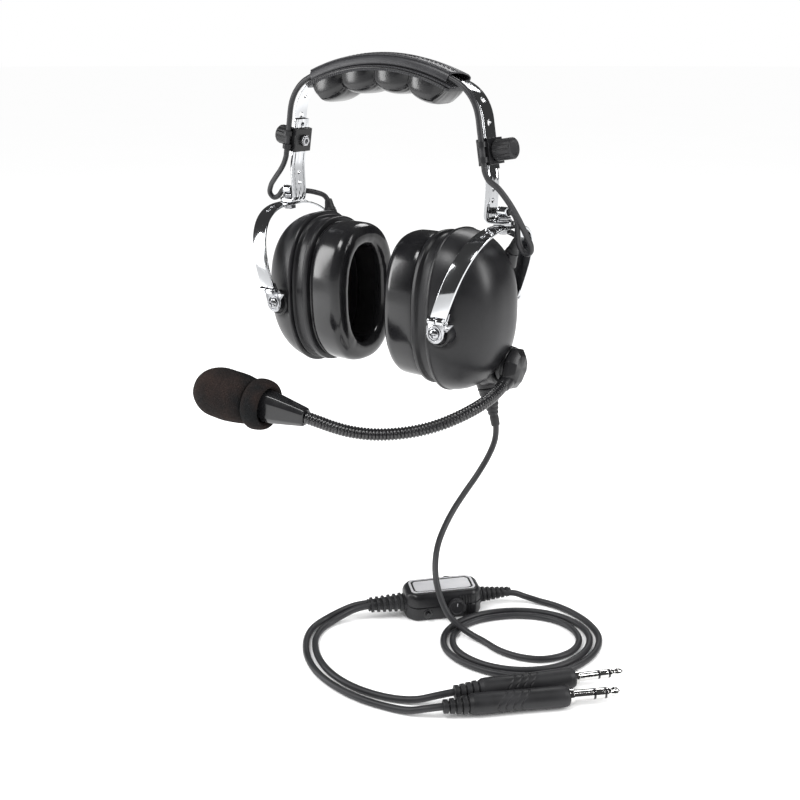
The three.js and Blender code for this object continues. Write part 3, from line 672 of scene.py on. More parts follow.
# ---- headband --------------------------------------------------------------------
@dataclass(frozen=True)
class BandLine:
    """The spring's middle line: a crown arc, a tighter shoulder arc, and a straight run on each side."""

    crown_z: float = 161.5
    crown_r: float = 150.0
    crown_end: float = math.radians(24)
    shoulder_r: float = 28.0
    shoulder_end: float = math.radians(80)

    @property
    def arcs(self) -> Tuple[float, float]:
        """Lengths of the crown arc and of the shoulder arc on one side."""
        return self.crown_r * self.crown_end, self.shoulder_r * (self.shoulder_end - self.crown_end)

    def at(self, distance: Array) -> Tuple[Array, Array]:
        """Points and outward normals at signed distances from the crown's middle.

        The angle grows by distance / radius along each arc and then stays; the point is the
        arc's centre plus radius times the normal, and past both arcs it runs straight down.

        Args:
            distance: signed distances along the band.

        Returns:
            Points and normals, each with a last axis of 3.
        """
        away = np.abs(distance)
        crown, shoulder = self.arcs
        angle = np.where(away < crown, away / self.crown_r,
                np.minimum(self.crown_end + (away - crown) / self.shoulder_r, self.shoulder_end))
        reach = self.crown_r - self.shoulder_r
        first = away < crown
        cx = np.where(first, 0.0, reach * math.sin(self.crown_end))
        cz = self.crown_z - self.crown_r + np.where(first, 0.0, reach * math.cos(self.crown_end))
        radius = np.where(first, self.crown_r, self.shoulder_r)
        nx, nz = np.sin(angle), np.cos(angle)
        past = np.maximum(away - crown - shoulder, 0.0)
        sign = np.where(distance < 0, -1.0, 1.0)
        zero = np.zeros_like(away)
        return (np.stack([sign * (cx + radius * nx + past * nz), zero, cz + radius * nz - past * nx], -1),
                np.stack([sign * nx, zero, nz], -1))

    def down_to(self, z: float) -> float:
        """The distance from the crown's middle to the straight run's point at a height.

        Args:
            z: the height.

        Returns:
            The distance along the band.
        """
        crown, shoulder = self.arcs
        start = self.at(np.array([crown + shoulder]))[0][0]
        return crown + shoulder + (start[2] - z) / math.sin(self.shoulder_end)


BAND = BandLine()
SIDEWAYS = np.array([0.0, 1.0, 0.0])
CABLE_Y = -10.6
CABLE_R = 1.85


@dataclass
class Headband(Assembly):
    """Spring, sleeve, pad and the cable between the cups."""

    spring_thick: float = 1.4
    spring_width: float = 12.4
    sleeve_half: float = 56.5
    board_half: float = 62.5
    lobe_half: float = 57.5
    lobes: int = 4
    lobe_shift: float = 1.5
    clamp_z: float = 109.0

    def strip(self, name: str, half: float, section: Array, count: int) -> bpy.types.Object:
        """Carry a (sideways, outward) section along the band from -half to +half."""
        line, normal = BAND.at(np.linspace(-half, half, count))
        return sweep(name, line, np.broadcast_to(SIDEWAYS, line.shape), normal, section)

    def build_spring(self) -> None:
        """The chromed spring with its row of holes at each end."""
        half = BAND.down_to(98.3)
        spring = self.strip("headband_spring_plate", half,
                rectangle(self.spring_width, self.spring_thick, 0.45), 220)
        holes = []
        for sign in (-1, 1):
            for low in (8.0, -6.0, -20.0):
                at, out = BAND.at(np.array([sign * (BAND.down_to(self.clamp_z) - 17.0 + low - 8.0)]))
                holes.append(lathe("hole", [[0, -3], [2.1, -3], [2.1, 3], [0, 3]], at[0], out[0], 24, 0.0))
        self.fit(punch(spring, holes), CHROME, "headband", "headband_spring")

    def build_sleeve(self) -> None:
        """The leatherette sleeve round spring and cable: an open-ended tube with a ridge and a seam."""
        outer = rounded([[-13.2, -2.3], [-13.7, -0.6], [-12.6, 2.9], [-10.4, 4.6], [-4.5, 5.1], [2, 4.6],
                [9.5, 2.9], [13.2, 1.0],
                         [13.7, -0.8], [12.8, -2.3]], 1.2, 5, closed=True)
        inner = outer * [0.915, 0.7] + [0.0, 0.3]
        line, normal = BAND.at(np.linspace(-self.sleeve_half, self.sleeve_half, 90))
        side = np.broadcast_to(SIDEWAYS, line.shape)
        there = line[:, None] + outer[None, :, :1] * side[:, None] + outer[None, :, 1:] * normal[:, None]
        back = line[:, None] + inner[None, :, :1] * side[:, None] + inner[None, :, 1:] * normal[:, None]
        sleeve = surface("pad_sleeve", np.vstack([there, back[::-1]]), wrap_rows=True, sharp=50)
        self.fit(sleeve, COVER_HIDE, "headband", "pad_cover")
        for name, y, lift, r in (("sleeve_front_piping", -11.7, 4.1, 0.55),
                ("sleeve_ridge_seam", -4.3, 5.05, 0.4)):
            self.piping(name, y, lift, r, self.sleeve_half - 0.6, COVER_HIDE)
        self.stitches("sleeve_stitches", -6.6, 5.12, self.sleeve_half - 2, 0.28)

    def piping(self, name: str, y: float, lift: float, radius: float, half: float, finish: Finish) -> None:
        """A thin round cord of leatherette along the band.

        Args:
            name: the piece's name.
            y: its sideways place.
            lift: its outward place.
            radius: its radius.
            half: half its length along the band.
            finish: what it is made of.
        """
        angle = np.arange(10) / 10 * 2 * math.pi
        section = radius * np.stack([np.cos(angle), np.sin(angle)], 1) + np.array([y, lift])
        self.fit(self.strip(name, half, section, 90), finish, "headband")

    def stitches(self, name: str, y: float, lift: float, half: float, radius: float) -> None:
        """A row of stitches: capsules 2.2 mm long, 3.2 mm apart, lying along the band.

        Args:
            name: the piece's name.
            y: the row's sideways place.
            lift: its outward place.
            half: half its length along the band.
            radius: a stitch's radius.
        """
        at = np.arange(-half, half, 3.2)
        along = np.array([-1.1, -0.95, -0.5, 0.5, 0.95, 1.1])
        size = np.array([0.0, 0.6, 1.0, 1.0, 0.6, 0.0]) * radius
        angle = np.arange(6) / 6 * 2 * math.pi
        line, normal = BAND.at(at[:, None] + along[None, :])
        y_part = (y + size[:, None] * np.cos(angle))[None, ..., None] * SIDEWAYS
        n_part = (lift + size[:, None] * np.sin(angle))[None, ..., None] * normal[:, :, None]
        points = line[:, :, None] + y_part + n_part
        one = grid_faces(len(along), 6, False, True)
        faces = (one[None] + (np.arange(len(at)) * len(along) * 6)[:, None, None]).reshape(-1, 4)
        self.fit(mesh_piece(name, points.reshape(-1, 3), faces.tolist()), COVER_HIDE, "headband")

    def build_board(self) -> None:
        """The pad's stiff layers: two thin boards with finely ribbed edges and a dark groove between."""
        for name, low, high, width, half, finish in (
                ("pad_upper_board", -3.5, -2.45, 31.0, self.board_half, COVER_HIDE),
                ("pad_lower_board", -5.6, -4.1, 32.0, self.board_half - 1.5, COVER_HIDE)):
            count = 400
            at = np.linspace(-half, half, count)
            line, normal = BAND.at(at)
            base = rectangle(1.0, high - low, 0.2)
            ribs = 0.22 * np.sin(at * 2 * math.pi / 1.9)
            taper = np.clip((half - np.abs(at)) / 5.0, 0.0, 1.0) ** 0.5
            wide = (width - 1.0) / 2 * (0.86 + 0.14 * taper) + ribs
            shift = np.sign(base[:, 0])[None, :] * wide[:, None]
            section = np.stack([base[None, :, 0] + shift,
                    np.broadcast_to(base[:, 1] + (low + high) / 2, shift.shape)], -1)
            self.fit(sweep(name, line, np.broadcast_to(SIDEWAYS, line.shape), normal, section, sharp=40),
                    finish, "headband")
        for y in (-15.6, 15.6):
            self.piping(f"pad_{'front' if y < 0 else 'rear'}_piping", y, -3.9, 0.6, self.board_half - 4,
                    PAD_HIDE)

    def build_cushion(self) -> None:
        """The lobed cushion, one closed surface.

        Along the band its depth and width follow |sin|^0.4, so they dip at each crease; round the
        section it is a superellipse whose top is flat; near the creases the skin puckers.
        """
        count, around = 320, 72
        at = np.linspace(-self.lobe_half, self.lobe_half, count)
        line, normal = BAND.at(at - self.lobe_shift)
        share = (at + self.lobe_half) / (2 * self.lobe_half) * self.lobes
        swell = np.abs(np.sin(math.pi * share)) ** 0.36
        ends = np.clip((self.lobe_half - np.abs(at)) / 6.0, 0.0, 1.0) ** 0.5
        near = np.abs(share - np.round(share))
        inside = (np.round(share) > 0) & (np.round(share) < self.lobes)
        fall = np.where(inside, 0.5 + 0.5 * swell, np.maximum(0.5 + 0.5 * swell, 0.9))
        depth, half = 14.4 * fall * ends, (12.2 + 3.6 * swell) * (0.8 + 0.2 * ends)
        angle = np.arange(around) / around * 2 * math.pi
        co, si = np.cos(angle), np.sin(angle)
        y = np.sign(co) * np.abs(co) ** 0.62
        down = np.where(si > 0, np.abs(si) ** 0.42, -0.12 * np.abs(si))
        pucker = 0.35 * np.exp(-near[:, None] * 9) * np.sin(angle * 16)[None] * (inside | (near > 0.02))[:,
                None]
        section_y = half[:, None] * y[None] * (1 + pucker * 0.03)
        section_n = -5.2 - depth[:, None] * down[None] - pucker * np.clip(down, 0, 1)[None]
        points = line[:, None] + section_y[..., None] * SIDEWAYS + section_n[..., None] * normal[:, None]
        cushion = surface("head_cushion", points, sharp=180)
        self.fit(cushion, PAD_HIDE, "headband", "head_pad")
        for crease in range(self.lobes + 1):
            spot = -self.lobe_half + 2 * self.lobe_half * crease / self.lobes
            if abs(spot) > self.lobe_half - 1:
                continue
            p, n = BAND.at(np.array([spot - self.lobe_shift]))
            curve = np.linspace(-0.5, math.pi + 0.5, 40)
            ring = np.stack([np.cos(curve), np.sin(curve)], 1)
            y_in = 11.9 * np.sign(ring[:, 0]) * np.abs(ring[:, 0]) ** 0.62
            n_in = -5.2 - 6.9 * np.sign(ring[:, 1]) * np.abs(ring[:, 1]) ** 0.55
            seam, _ = tube(f"crease_seam_{crease}", p[0] + y_in[:, None] * SIDEWAYS + n_in[:, None] * n[0],
                    0.5, 8, 1.0)
            self.fit(seam, PAD_HIDE, "headband")

    def build_cable(self) -> None:
        """The cable along the spring's front edge from clamp to clamp, a little higher inside the sleeve."""
        crown, shoulder = BAND.arcs
        end = BAND.down_to(self.clamp_z - 9.0)
        at = np.linspace(-end, end, 41)
        line, normal = BAND.at(at)
        lift = np.clip((crown + shoulder - np.abs(at)) / shoulder, 0.0, 1.0)[:, None]
        route = line + normal * lift + SIDEWAYS * CABLE_Y
        cable, path = tube("band_cable", route, CABLE_R, 16, 1.6)
        self.fit(cable, JACKET, "headband", "dome_cable")

    def build(self) -> None:
        """Build every headband piece."""
        self.build_spring()
        self.build_cable()
        self.build_sleeve()
        self.build_board()
        self.build_cushion()


# ---- arms, clamps and yokes --------------------------------------------------------
@dataclass
class Arm(Assembly):
    """One side's slide bar, clamp, swivel bolt and yoke, with the cable's clip."""

    side: str = "left"
    clamp_z: float = 109.0
    swivel_x: float = 90.8
    tab_z: float = 65.9
    pivot_x: float = 69.0
    yoke_top: float = 62.6
    yoke_half: float = 43.5
    yoke_foot: float = 9.0
    boss_y: float = 41.2

    @property
    def sign(self) -> float:
        """Which way outwards is along X."""
        return side_sign(self.side)

    def name(self, what: str) -> str:
        """The piece's name on this side."""
        return f"{self.side}_{what}"

    def flip(self, points: Sequence) -> Array:
        """Points given for the left side, moved to this side."""
        return np.asarray(points, float) * [self.sign, 1.0, 1.0]

    def straight(self, z: float, offset: float = 0.0) -> Array:
        """A point of the spring's straight run at height z, moved outwards by offset, on the left side."""
        p, n = BAND.at(np.array([BAND.down_to(z)]))
        return p[0] + n[0] * offset

    def build_bar(self) -> None:
        """The slide bar: a fluted strip down from the clamp, bent out to the tab on the yoke."""
        inset = -2.0
        corners = [self.straight(123, inset), self.straight(112, inset), self.straight(100, inset),
                self.straight(92, inset),
                   [81.6, 0, 84], [81.2, 0, 76], [80.9, 0, 70], [81.3, 0, 67.6], [82.8, 0, 66.2],
                   [85, 0, self.tab_z], [91, 0, self.tab_z],
                   [97.5, 0, self.tab_z]]
        line = smooth_route(corners, 0.7)
        tangent = np.gradient(line, axis=0)
        tangent /= np.linalg.norm(tangent, axis=1)[:, None]
        lift = np.cross(tangent, SIDEWAYS)
        half = np.array([[-6.5, -1], [-5.2, -1], [-4.4, -0.55], [-3.6, -1], [-1.2, -1], [0, -0.7], [1.2, -1],
                [3.6, -1], [4.4, -0.55], [5.2, -1], [6.5, -1]])
        section = rounded(np.vstack([half, half[::-1] * [1, -1]]), 0.25, 3, closed=True)
        tab = np.clip((97.5 - line[:, 0]) / 6.5, 0.0, 1.0)
        wide = np.where((line[:, 2] < self.tab_z + 0.3) & (line[:, 0] > 91),
                np.sqrt(np.clip(1 - (1 - tab) ** 2, 0.02, 1)), 1.0)
        shaped = section[None] * np.stack([wide, np.ones_like(wide)], -1)[:, None]
        bar = sweep(self.name("fluted_bar"), self.flip(line), np.broadcast_to(SIDEWAYS, line.shape),
                self.flip(lift), shaped, sharp=30)
        holes = []
        for z in (86.0, 79.0, 119.5):
            at = self.flip(self.straight(z, inset))
            if z < 90:
                at = self.flip([81.5, 0, z])
            holes.append(lathe("hole", [[0, -4], [1.6, -4], [1.6, 4], [0, 4]], at, [self.sign, 0, 0.176], 20,
                    0.0))
        self.fit(punch(bar, holes), CHROME, f"{self.side}_slide", f"{self.side}_slide_bar")

    def build_clamp(self) -> None:
        """The black retainer round spring and bar, its cable saddle, the inner screw and the fluted knob."""
        centre = self.flip(self.straight(self.clamp_z))
        out = self.flip([math.sin(BAND.shoulder_end), 0, math.cos(BAND.shoulder_end)])
        up = np.cross(out, SIDEWAYS) * self.sign
        body = clean_copy(f"{self.side}_clamp_plate", self.name("clamp_retainer"), 0.45)
        self.fit(body, SATIN, "headband", f"{self.side}_clamp_plate")
        saddle = []
        for shift in (-4.6, 4.6):
            angle = np.linspace(0, 2 * math.pi, 28, endpoint=False)
            ring = np.stack([CABLE_Y + 3.1 * np.cos(angle), 3.1 * np.sin(angle)], 1)
            hollow = np.stack([CABLE_Y + 2.05 * np.cos(angle), 2.05 * np.sin(angle)], 1)
            rows = [(ring, -1.6), (ring, 1.6), (hollow, 1.6), (hollow, -1.6)]
            points = np.stack([centre + r[:, :1] * SIDEWAYS + r[:, 1:] * out + (shift + k) * up for r,
                    k in rows])
            saddle.append(surface("saddle", points, wrap_rows=True))
        self.fit(joined(self.name("cable_saddle"), saddle), SATIN, "headband")
        inner = centre - out * 5.3
        self.fit(lathe(self.name("clamp_screw"), [[0, 0], [3.9, 0], [3.9, 2.2], [3.2, 2.9], [1.7, 2.9],
                [1.5, 1.2], [0, 1.2]], inner, -out, 48, 0.2,
                       lambda along, angle: np.where(along > 0.2, flats(6)(along, angle), 1.0)), STEEL,
                       "headband")

        def fluted(along: Array, angle: Array) -> Array:
            """Twelve flutes round the knob, fading out at both ends."""
            fade = np.clip((along - 3.6) / 1.5, 0, 1) * np.clip((16.4 - along) / 1.2, 0, 1)
            return 1 - 0.11 * fade * np.maximum(0.0, np.cos(angle * 12)) ** 1.5

        knob = lathe(self.name("fluted_knob"), [[0, 1.3], [2, 1.3], [2, 3.5], [6.1, 3.5], [6.6, 4.3],
                [6.6, 15.6], [5.9, 16.5], [4.2, 16.5],
                                                [3.9, 15.9], [0, 15.9]], centre, out, 144, 0.35, fluted)
        self.fit(knob, RUBBER, f"{self.side}_knob", f"{self.side}_clamp_knob")

    def build_swivel(self) -> None:
        """The swivel's bolt head, washer and nut, and the chromed clip for the cable above it."""
        at = [self.sign * self.swivel_x, 0, 0]
        hexagon = flats(6)
        parts = [
            lathe("shaft", [[0, 59], [2.4, 59], [2.4, 68], [0, 68]], at, [0, 0, 1], 24, 0.1),
            lathe("washer", [[0, 67.2], [5.2, 67.2], [5.2, 67.9], [0, 67.9]], at, [0, 0, 1], 40, 0.15),
            lathe("head", [[0, 67.9], [4.5, 67.9], [4.5, 69.4], [3.9, 70], [0, 70]], at, [0, 0, 1], 48, 0.2,
                hexagon),
            lathe("nut", [[0, 59.3], [4.2, 59.3], [4.6, 59.8], [4.6, 62.2], [0, 62.2]], at, [0, 0, 1], 48,
                0.2, hexagon)]
        self.fit(joined(self.name("swivel_fastener"), parts), STEEL, f"{self.side}_slide",
                f"{self.side}_swivel_bolt")
        clip = lathe(self.name("cable_ring"), [[2.15, -3.4], [2.9, -3.6], [3.3, -3.2], [2.9, -2.7],
                [2.9, 2.7], [3.3, 3.2], [2.9, 3.6], [2.15, 3.4]],
                     self.flip([self.swivel_x, 0, 73.0]), [self.sign, 0, 0], 40, 0.3, closed=True)
        self.fit(clip, CHROME, f"{self.side}_slide", f"{self.side}_cable_clip")

    def arch(self, extra: float, angle: Array) -> Array:
        """(y, z) of the yoke's arch: a superellipse from the front foot over the top to the rear foot.

        Args:
            extra: how far outside the inner arch.
            angle: 0 at the front foot, pi at the rear one.

        Returns:
            Points with a last axis of 2.
        """
        co, si = np.cos(angle), np.sin(angle)
        rise = self.yoke_top - self.yoke_foot
        return np.stack([-np.sign(co) * np.abs(co) ** 0.75 * (self.yoke_half + extra),
                self.yoke_foot + np.abs(si) ** 0.75 * (rise + extra)], -1)

    def build_yoke(self) -> None:
        """The chromed yoke: a strap carried over the arch and sheared outwards, with rolls and rivets."""
        slant = (self.swivel_x - self.pivot_x) / self.yoke_top
        angle = np.linspace(0.0, math.pi, 181)
        yz = self.arch(0.8, angle)
        line = np.stack([self.pivot_x + yz[:, 1] * slant, yz[:, 0], yz[:, 1]], -1)
        tangent = np.gradient(line[:, 1:], axis=0)
        tangent /= np.linalg.norm(tangent, axis=1)[:, None]
        normal = np.stack([0 * tangent[:, 0], -tangent[:, 1], tangent[:, 0]], -1)
        normal *= np.where((normal[:, 1:] * (line[:, 1:] - [0, 20])).sum(1) < 0, -1.0, 1.0)[:, None]
        across = np.tile([1.0, 0.0, 0.0], (len(line), 1))
        section = rounded([[-6, -0.8], [6, -0.8], [6, 0.8], [-6, 0.8]], 0.55, 5, closed=True)
        strap = sweep(self.name("yoke_strap"), self.flip(line), self.flip(across), normal, section)
        body = f"{self.side}_stirrup"
        self.fit(strap, CHROME, body, f"{self.side}_yoke")
        for end, way in (("front", -1), ("rear", 1)):
            foot = [self.pivot_x + self.yoke_foot * slant, way * (self.yoke_half + 0.8), self.yoke_foot - 0.6]
            loops = []
            for shift in (-3.6, 3.6):
                loops.append(lathe("roll", [[1.05, -2.75], [2.2, -2.75], [2.5, -2.5], [2.5, 2.5], [2.2, 2.75],
                        [1.05, 2.75]],
                                   self.flip(np.add(foot, [shift * 0.86, 0, 0.6])), [1, 0, 0], 28, 0.2,
                                   lambda along, angle: 1 + 0.42 * np.cos(angle) ** 2, closed=True))
            self.fit(joined(self.name(f"{end}_yoke_rolls"), loops), CHROME, body)
            pin = lathe(self.name(f"{end}_yoke_pin"), [[0, -6.3], [0.95, -6.3], [0.95, 6.3], [0, 6.3]],
                    self.flip(foot), [1, 0, 0], 20, 0.3)
            self.fit(pin, STEEL, body)
            rivets = []
            for turn in (66, 73):
                where = math.radians(turn if way < 0 else 180 - turn)
                y, z = self.arch(1.6, np.array([where]))[0]
                lean = [0, y, z - 20]
                rivets.append(lathe("rivet", [[0, -0.4], [1.7, -0.4], [1.7, 0.2], [1.2, 0.75], [0, 0.95]],
                                    self.flip([self.pivot_x + z * slant, y, z]), lean, 20, 0.2))
            self.fit(joined(self.name(f"{end}_yoke_rivets"), rivets), STEEL, body)

    def build_clip(self, end: str, way: float) -> None:
        """One pivot clip, a round-ended plate with a raised rim and a bent wing, and its pan-head screw.

        Args:
            end: front or rear.
            way: -1 for the front, +1 for the rear.
        """
        slant = (self.swivel_x - self.pivot_x) / self.yoke_top
        turn = np.linspace(math.pi, 2 * math.pi, 19)
        round_end = np.stack([6.4 * np.cos(turn), 6.4 * np.sin(turn)], 1)
        rest = [[6.3 + 4 * slant, 5], [7.4, 7.2], [6.4 + 9 * slant, 9], [6.2 + 14 * slant, 14.2],
                [-6 + 14 * slant, 14.2], [-6.6 + 9 * slant, 9], [-6.4, 4]]
        middle = way * (self.boss_y + 0.3 + 0.75)
        origin = self.flip([self.pivot_x, middle, 0])
        outline = np.vstack([round_end, rest])
        face = plate("face", outline, 1.5, origin, [self.sign, 0, 0], [0, 0, 1], 0.25)
        wing = plate("wing", rounded([[0, -3.4], [2.6, -3.0], [8.4, 2.6], [3.2, 1.6], [2.2, 4.0], [0, 4.2]],
                0.6, 3, closed=True), 1.1,
                     [self.sign * self.pivot_x - way * 5.4 + self.sign * 1.6, middle + way * 0.2, 5.6],
                     [-0.97 * way, way * 0.24, 0], [0, 0, 1], 0.2)
        bead = lathe("bead", [[4.6, 0], [5.4, 0], [5.4, 0.5], [4.6, 0.5]],
                [self.sign * self.pivot_x, middle + way * 0.7, 0], [0, way, 0], 40, 0.2, closed=True)
        clip = joined(self.name(f"{end}_clip_plate"), [face, wing, bead])
        self.fit(clip, STEEL, f"{self.side}_stirrup", f"{self.side}_{end}_pivot_clip")

        head = self.boss_y + 0.3 + 1.5 + 0.3
        rings, segments = 26, 96
        radius = np.linspace(0.0, 3.6, rings)[::-1]
        angle = np.arange(segments) / segments * 2 * math.pi
        r, a = np.meshgrid(radius, angle, indexing="ij")
        x, z = r * np.cos(a), r * np.sin(a)
        slot = (np.abs(x) < 0.5) & (np.abs(z) < 2.3) | (np.abs(z) < 0.5) & (np.abs(x) < 2.3)
        dome = 2.3 * (1 - (r / 3.9) ** 2) ** 0.5 - 1.1 * slot
        top = np.stack([self.pivot_x + x, way * (head + dome), z], -1)
        stem = np.stack([np.stack([self.pivot_x + k * np.cos(angle), np.full(segments, way * d),
                k * np.sin(angle)], -1)
                         for k, d in ((1.6, 35.0), (1.6, head), (3.6, head))])
        screw = surface(self.name(f"{end}_pan_screw"), self.flip(np.concatenate([stem, top])), sharp=40)
        self.fit(screw, STEEL, f"{self.side}_cup", f"{self.side}_{end}_pivot_screw")

    def build(self) -> None:
        """Build every piece of this arm."""
        self.build_bar()
        self.build_clamp()
        self.build_swivel()
        self.build_yoke()
        self.build_clip("front", -1.0)
        self.build_clip("rear", 1.0)


# ---- ear cups ------------------------------------------------------------------------
@dataclass
class Cup(Assembly):
    """One ear cup: dome, flange, seal, foam liner and its bosses."""

    side: str = "left"
    cup_z: float = 6.0
    power: float = 2.4
    around: int = 144
    pivot_x: float = 69.0
    boss_y: float = 41.2

    @property
    def sign(self) -> float:
        """Which way outwards is along X."""
        return side_sign(self.side)

    @property
    def body(self) -> str:
        """The CAD body that the cup's pieces ride on."""
        return f"{self.side}_cup"

    def ovals(self, rings: Array) -> Array:
        """Oval rings: for each (x, w, h), y = w * c^(2/p) and z = h * s^(2/p) round the cup's axis.

        Args:
            rings: (n, 3) of x, half width and half height.

        Returns:
            (n, around, 3) points.
        """
        angle = np.arange(self.around) / self.around * 2 * math.pi
        co, si = np.cos(angle), np.sin(angle)
        y = np.sign(co) * np.abs(co) ** (2 / self.power)
        z = np.sign(si) * np.abs(si) ** (2 / self.power)
        rings = np.asarray(rings, float)
        return np.stack([self.sign * rings[:, :1] + 0 * y, rings[:, 1:2] * y, self.cup_z + rings[:, 2:] * z],
                -1)

    def build_dome(self) -> None:
        """The moulded dome, with a beaded rim, pivot bosses and a crescent recess by each pivot.

        Its width and height fall with cos(lift)^0.75 while x rises with sin(lift).
        """
        lift = np.linspace(math.pi / 2, 0.0, 60)
        shrink = np.cos(lift) ** 0.75
        shrink[0] = 0.0
        outer = np.stack([58 + 37 * np.sin(lift), 37.5 * shrink, 53.6 * shrink], -1)
        rim = np.array([[60.4, 37.5, 53.6], [60.0, 38.1, 54.2], [58.7, 38.1, 54.2], [58.2, 37.8, 53.9],
                [58.0, 37.2, 53.3], [58.0, 35.0, 51.1]])
        inner = np.stack([58 + 34.4 * np.sin(lift[::-1]), 34.9 * shrink[::-1], 51 * shrink[::-1]], -1)
        rows = np.vstack([outer[outer[:, 0] > 61], rim, inner[1:]])
        points = self.ovals(rows)
        count = int((outer[:, 0] > 61).sum())
        x, y, z = np.abs(points[:count, :, 0]), points[:count, :, 1], points[:count, :, 2]
        away = np.hypot(x - self.pivot_x, z)
        recess = 1.3 * np.exp(-(((away - 8.6) / 2.0) ** 2)) * np.clip(0.5 - z / 6, 0, 1) * (np.abs(y) > 20)
        points[:count, :, 1] -= np.sign(y) * recess
        dome = surface(f"{self.side}_cup_dome", points, sharp=45)
        bosses = [lathe("boss", [[0, 30], [6.2, 30], [5.4, 39.2], [5.2, 41.0], [4.4, self.boss_y],
                [0, self.boss_y]],
                        [self.sign * self.pivot_x, 0, 0], [0, way, 0], 40, 0.5) for way in (-1, 1)]
        bosses += [lathe("pivot_seat", [[0, 31], [9.0, 31], [8.6, 38.6], [8.2, 39.3], [7.2, 39.5],
                [6.8, 38.2], [0, 38.2]],
                         [self.sign * self.pivot_x, 0, -0.6], [0, way, 0], 48, 0.4) for way in (-1, 1)]
        if self.side == "left":
            bosses.append(lathe("boom_boss", [[0, 74], [17.5, 74], [15.6, 79], [15, 81], [15, 85.2],
                    [14.2, 86], [0, 86]], [0, 14, -30], [1, 0, 0], 64, 1.0))
            bosses.append(lathe("gland_seat", [[0, -14], [9.4, -12], [7.8, -4], [7.6, -0.6], [7.0, 0],
                    [0, 0]], [71, 19, -50], [0.2, 0.085, -0.976], 40, 0.8))
            seat = ([88.6, 20, 51.6], [-0.4, 0.05, -0.915], 8.3, 9)
        else:
            seat = ([-67.9, 16.8, 65], [0.1, 0.1, -0.98], 6.8, 6)
        bosses.append(lathe("boot_seat", [[0, seat[2] + seat[3]], [6.4, seat[2] + seat[3]],
                [4.8, seat[2] + 2], [4.6, seat[2]], [0, seat[2]]],
                            seat[0], seat[1], 32, 0.6))
        self.fit(joined(f"{self.side}_dome_shell", [dome, *bosses]), SATIN, self.body, f"{self.side}_dome")

    def build_flange(self) -> None:
        """The seal flange: two ridges with a groove between, as an oval ring."""
        f, b, w, h = 44.8, 57.7, 33.5, 49.0
        rings = np.array([[f, 20, 34], [f, w + 1.6, h + 1.6], [f + 0.5, w + 2.3, h + 2.3],
                [f + 3.2, w + 2.6, h + 2.6], [f + 3.8, w + 2.0, h + 2.0],
                          [f + 5.0, w + 0.5, h + 0.5], [b - 2.4, w + 0.5, h + 0.5],
                          [b - 1.7, w + 2.2, h + 2.2], [b - 1.2, w + 2.7, h + 2.7],
                          [b - 0.2, w + 2.7, h + 2.7], [b, w + 2.2, h + 2.2], [b, 20, 34]])
        fine = rounded(rings, 0.5, 4, closed=True)
        self.fit(surface(f"{self.side}_flange_ring", self.ovals(fine), wrap_rows=True, sharp=40), SATIN,
                self.body, f"{self.side}_seal_flange")

    def build_seal(self) -> None:
        """The soft seal: a closed section carried round the oval, crowned in front.

        Sine waves give light creases towards its hole, and the section has a welded seam at the back.
        """
        s = {"front": 18.0, "back": 44.5, "w": 33.5, "h": 49.0, "hw": 18.5, "hh": 33.5}
        wall_w, wall_h = s["w"] - s["hw"], s["h"] - s["hh"]
        corner = np.array([[26.5, 0.0], [22.0, 0.03], [18.9, 0.16], [18.05, 0.36], [18.3, 0.62], [20.0, 0.86],
                [23.4, 0.985], [28.5, 1.0], [35.0, 1.0],
                           [40.2, 0.985], [42.4, 0.955], [43.1, 0.9], [43.7, 0.955], [44.4, 0.93],
                           [44.5, 0.5], [44.5, 0.06], [42.0, 0.0], [34.0, 0.0]])
        fine = rounded(corner * [1, 30], 3.0, 5, closed=True) / [1, 30]
        rings = np.stack([fine[:, 0], s["hw"] + wall_w * fine[:, 1], s["hh"] + wall_h * fine[:, 1]], -1)
        points = self.ovals(rings)
        angle = np.arange(self.around) / self.around * 2 * math.pi
        front = np.clip((27.0 - fine[:, 0]) / 8.0, 0, 1) * np.clip(1.25 - fine[:, 1] * 1.5, 0, 1)
        wave = 0.10 * np.sin(angle * 17) + 0.07 * np.sin(angle * 29 + 1.3)
        crease = wave * (0.55 + 0.45 * np.sin(angle * 5))
        points[..., 0] += self.sign * front[:, None] * crease[None]
        side_wave = 0.16 * np.sin(angle * 9 + 0.7) * np.clip((fine[:, 1] - 0.9) * 10, 0, 1)[:, None]
        points[..., 1:] += (points[..., 1:] - [0, self.cup_z]) * (side_wave / 40)[..., None]
        seal = surface(f"{self.side}_vinyl_seal", points, wrap_rows=True, sharp=180)
        self.fit(seal, VINYL, self.body, f"{self.side}_ear_seal")

    def build_liner(self) -> None:
        """The foam liner that shows inside the seal: an oval disc with a gently dished front."""
        share = np.linspace(0.0, 1.0, 30)
        front = np.stack([50.6 - 0.6 * share**2, 19.7 * share, 33.7 * share], -1)
        rows = np.vstack([front, [[57.0, 19.7, 33.7], [57.6, 19.2, 33.2], [57.6, 0, 0]]])
        self.fit(surface(f"{self.side}_liner_foam", self.ovals(rows), sharp=60), FOAM, self.body,
                f"{self.side}_foam_liner")
        STEEL.dress(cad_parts[f"{self.side}_speaker"])

    def build(self) -> None:
        """Build every piece of this cup."""
        self.build_dome()
        self.build_flange()
        self.build_seal()
        self.build_liner()


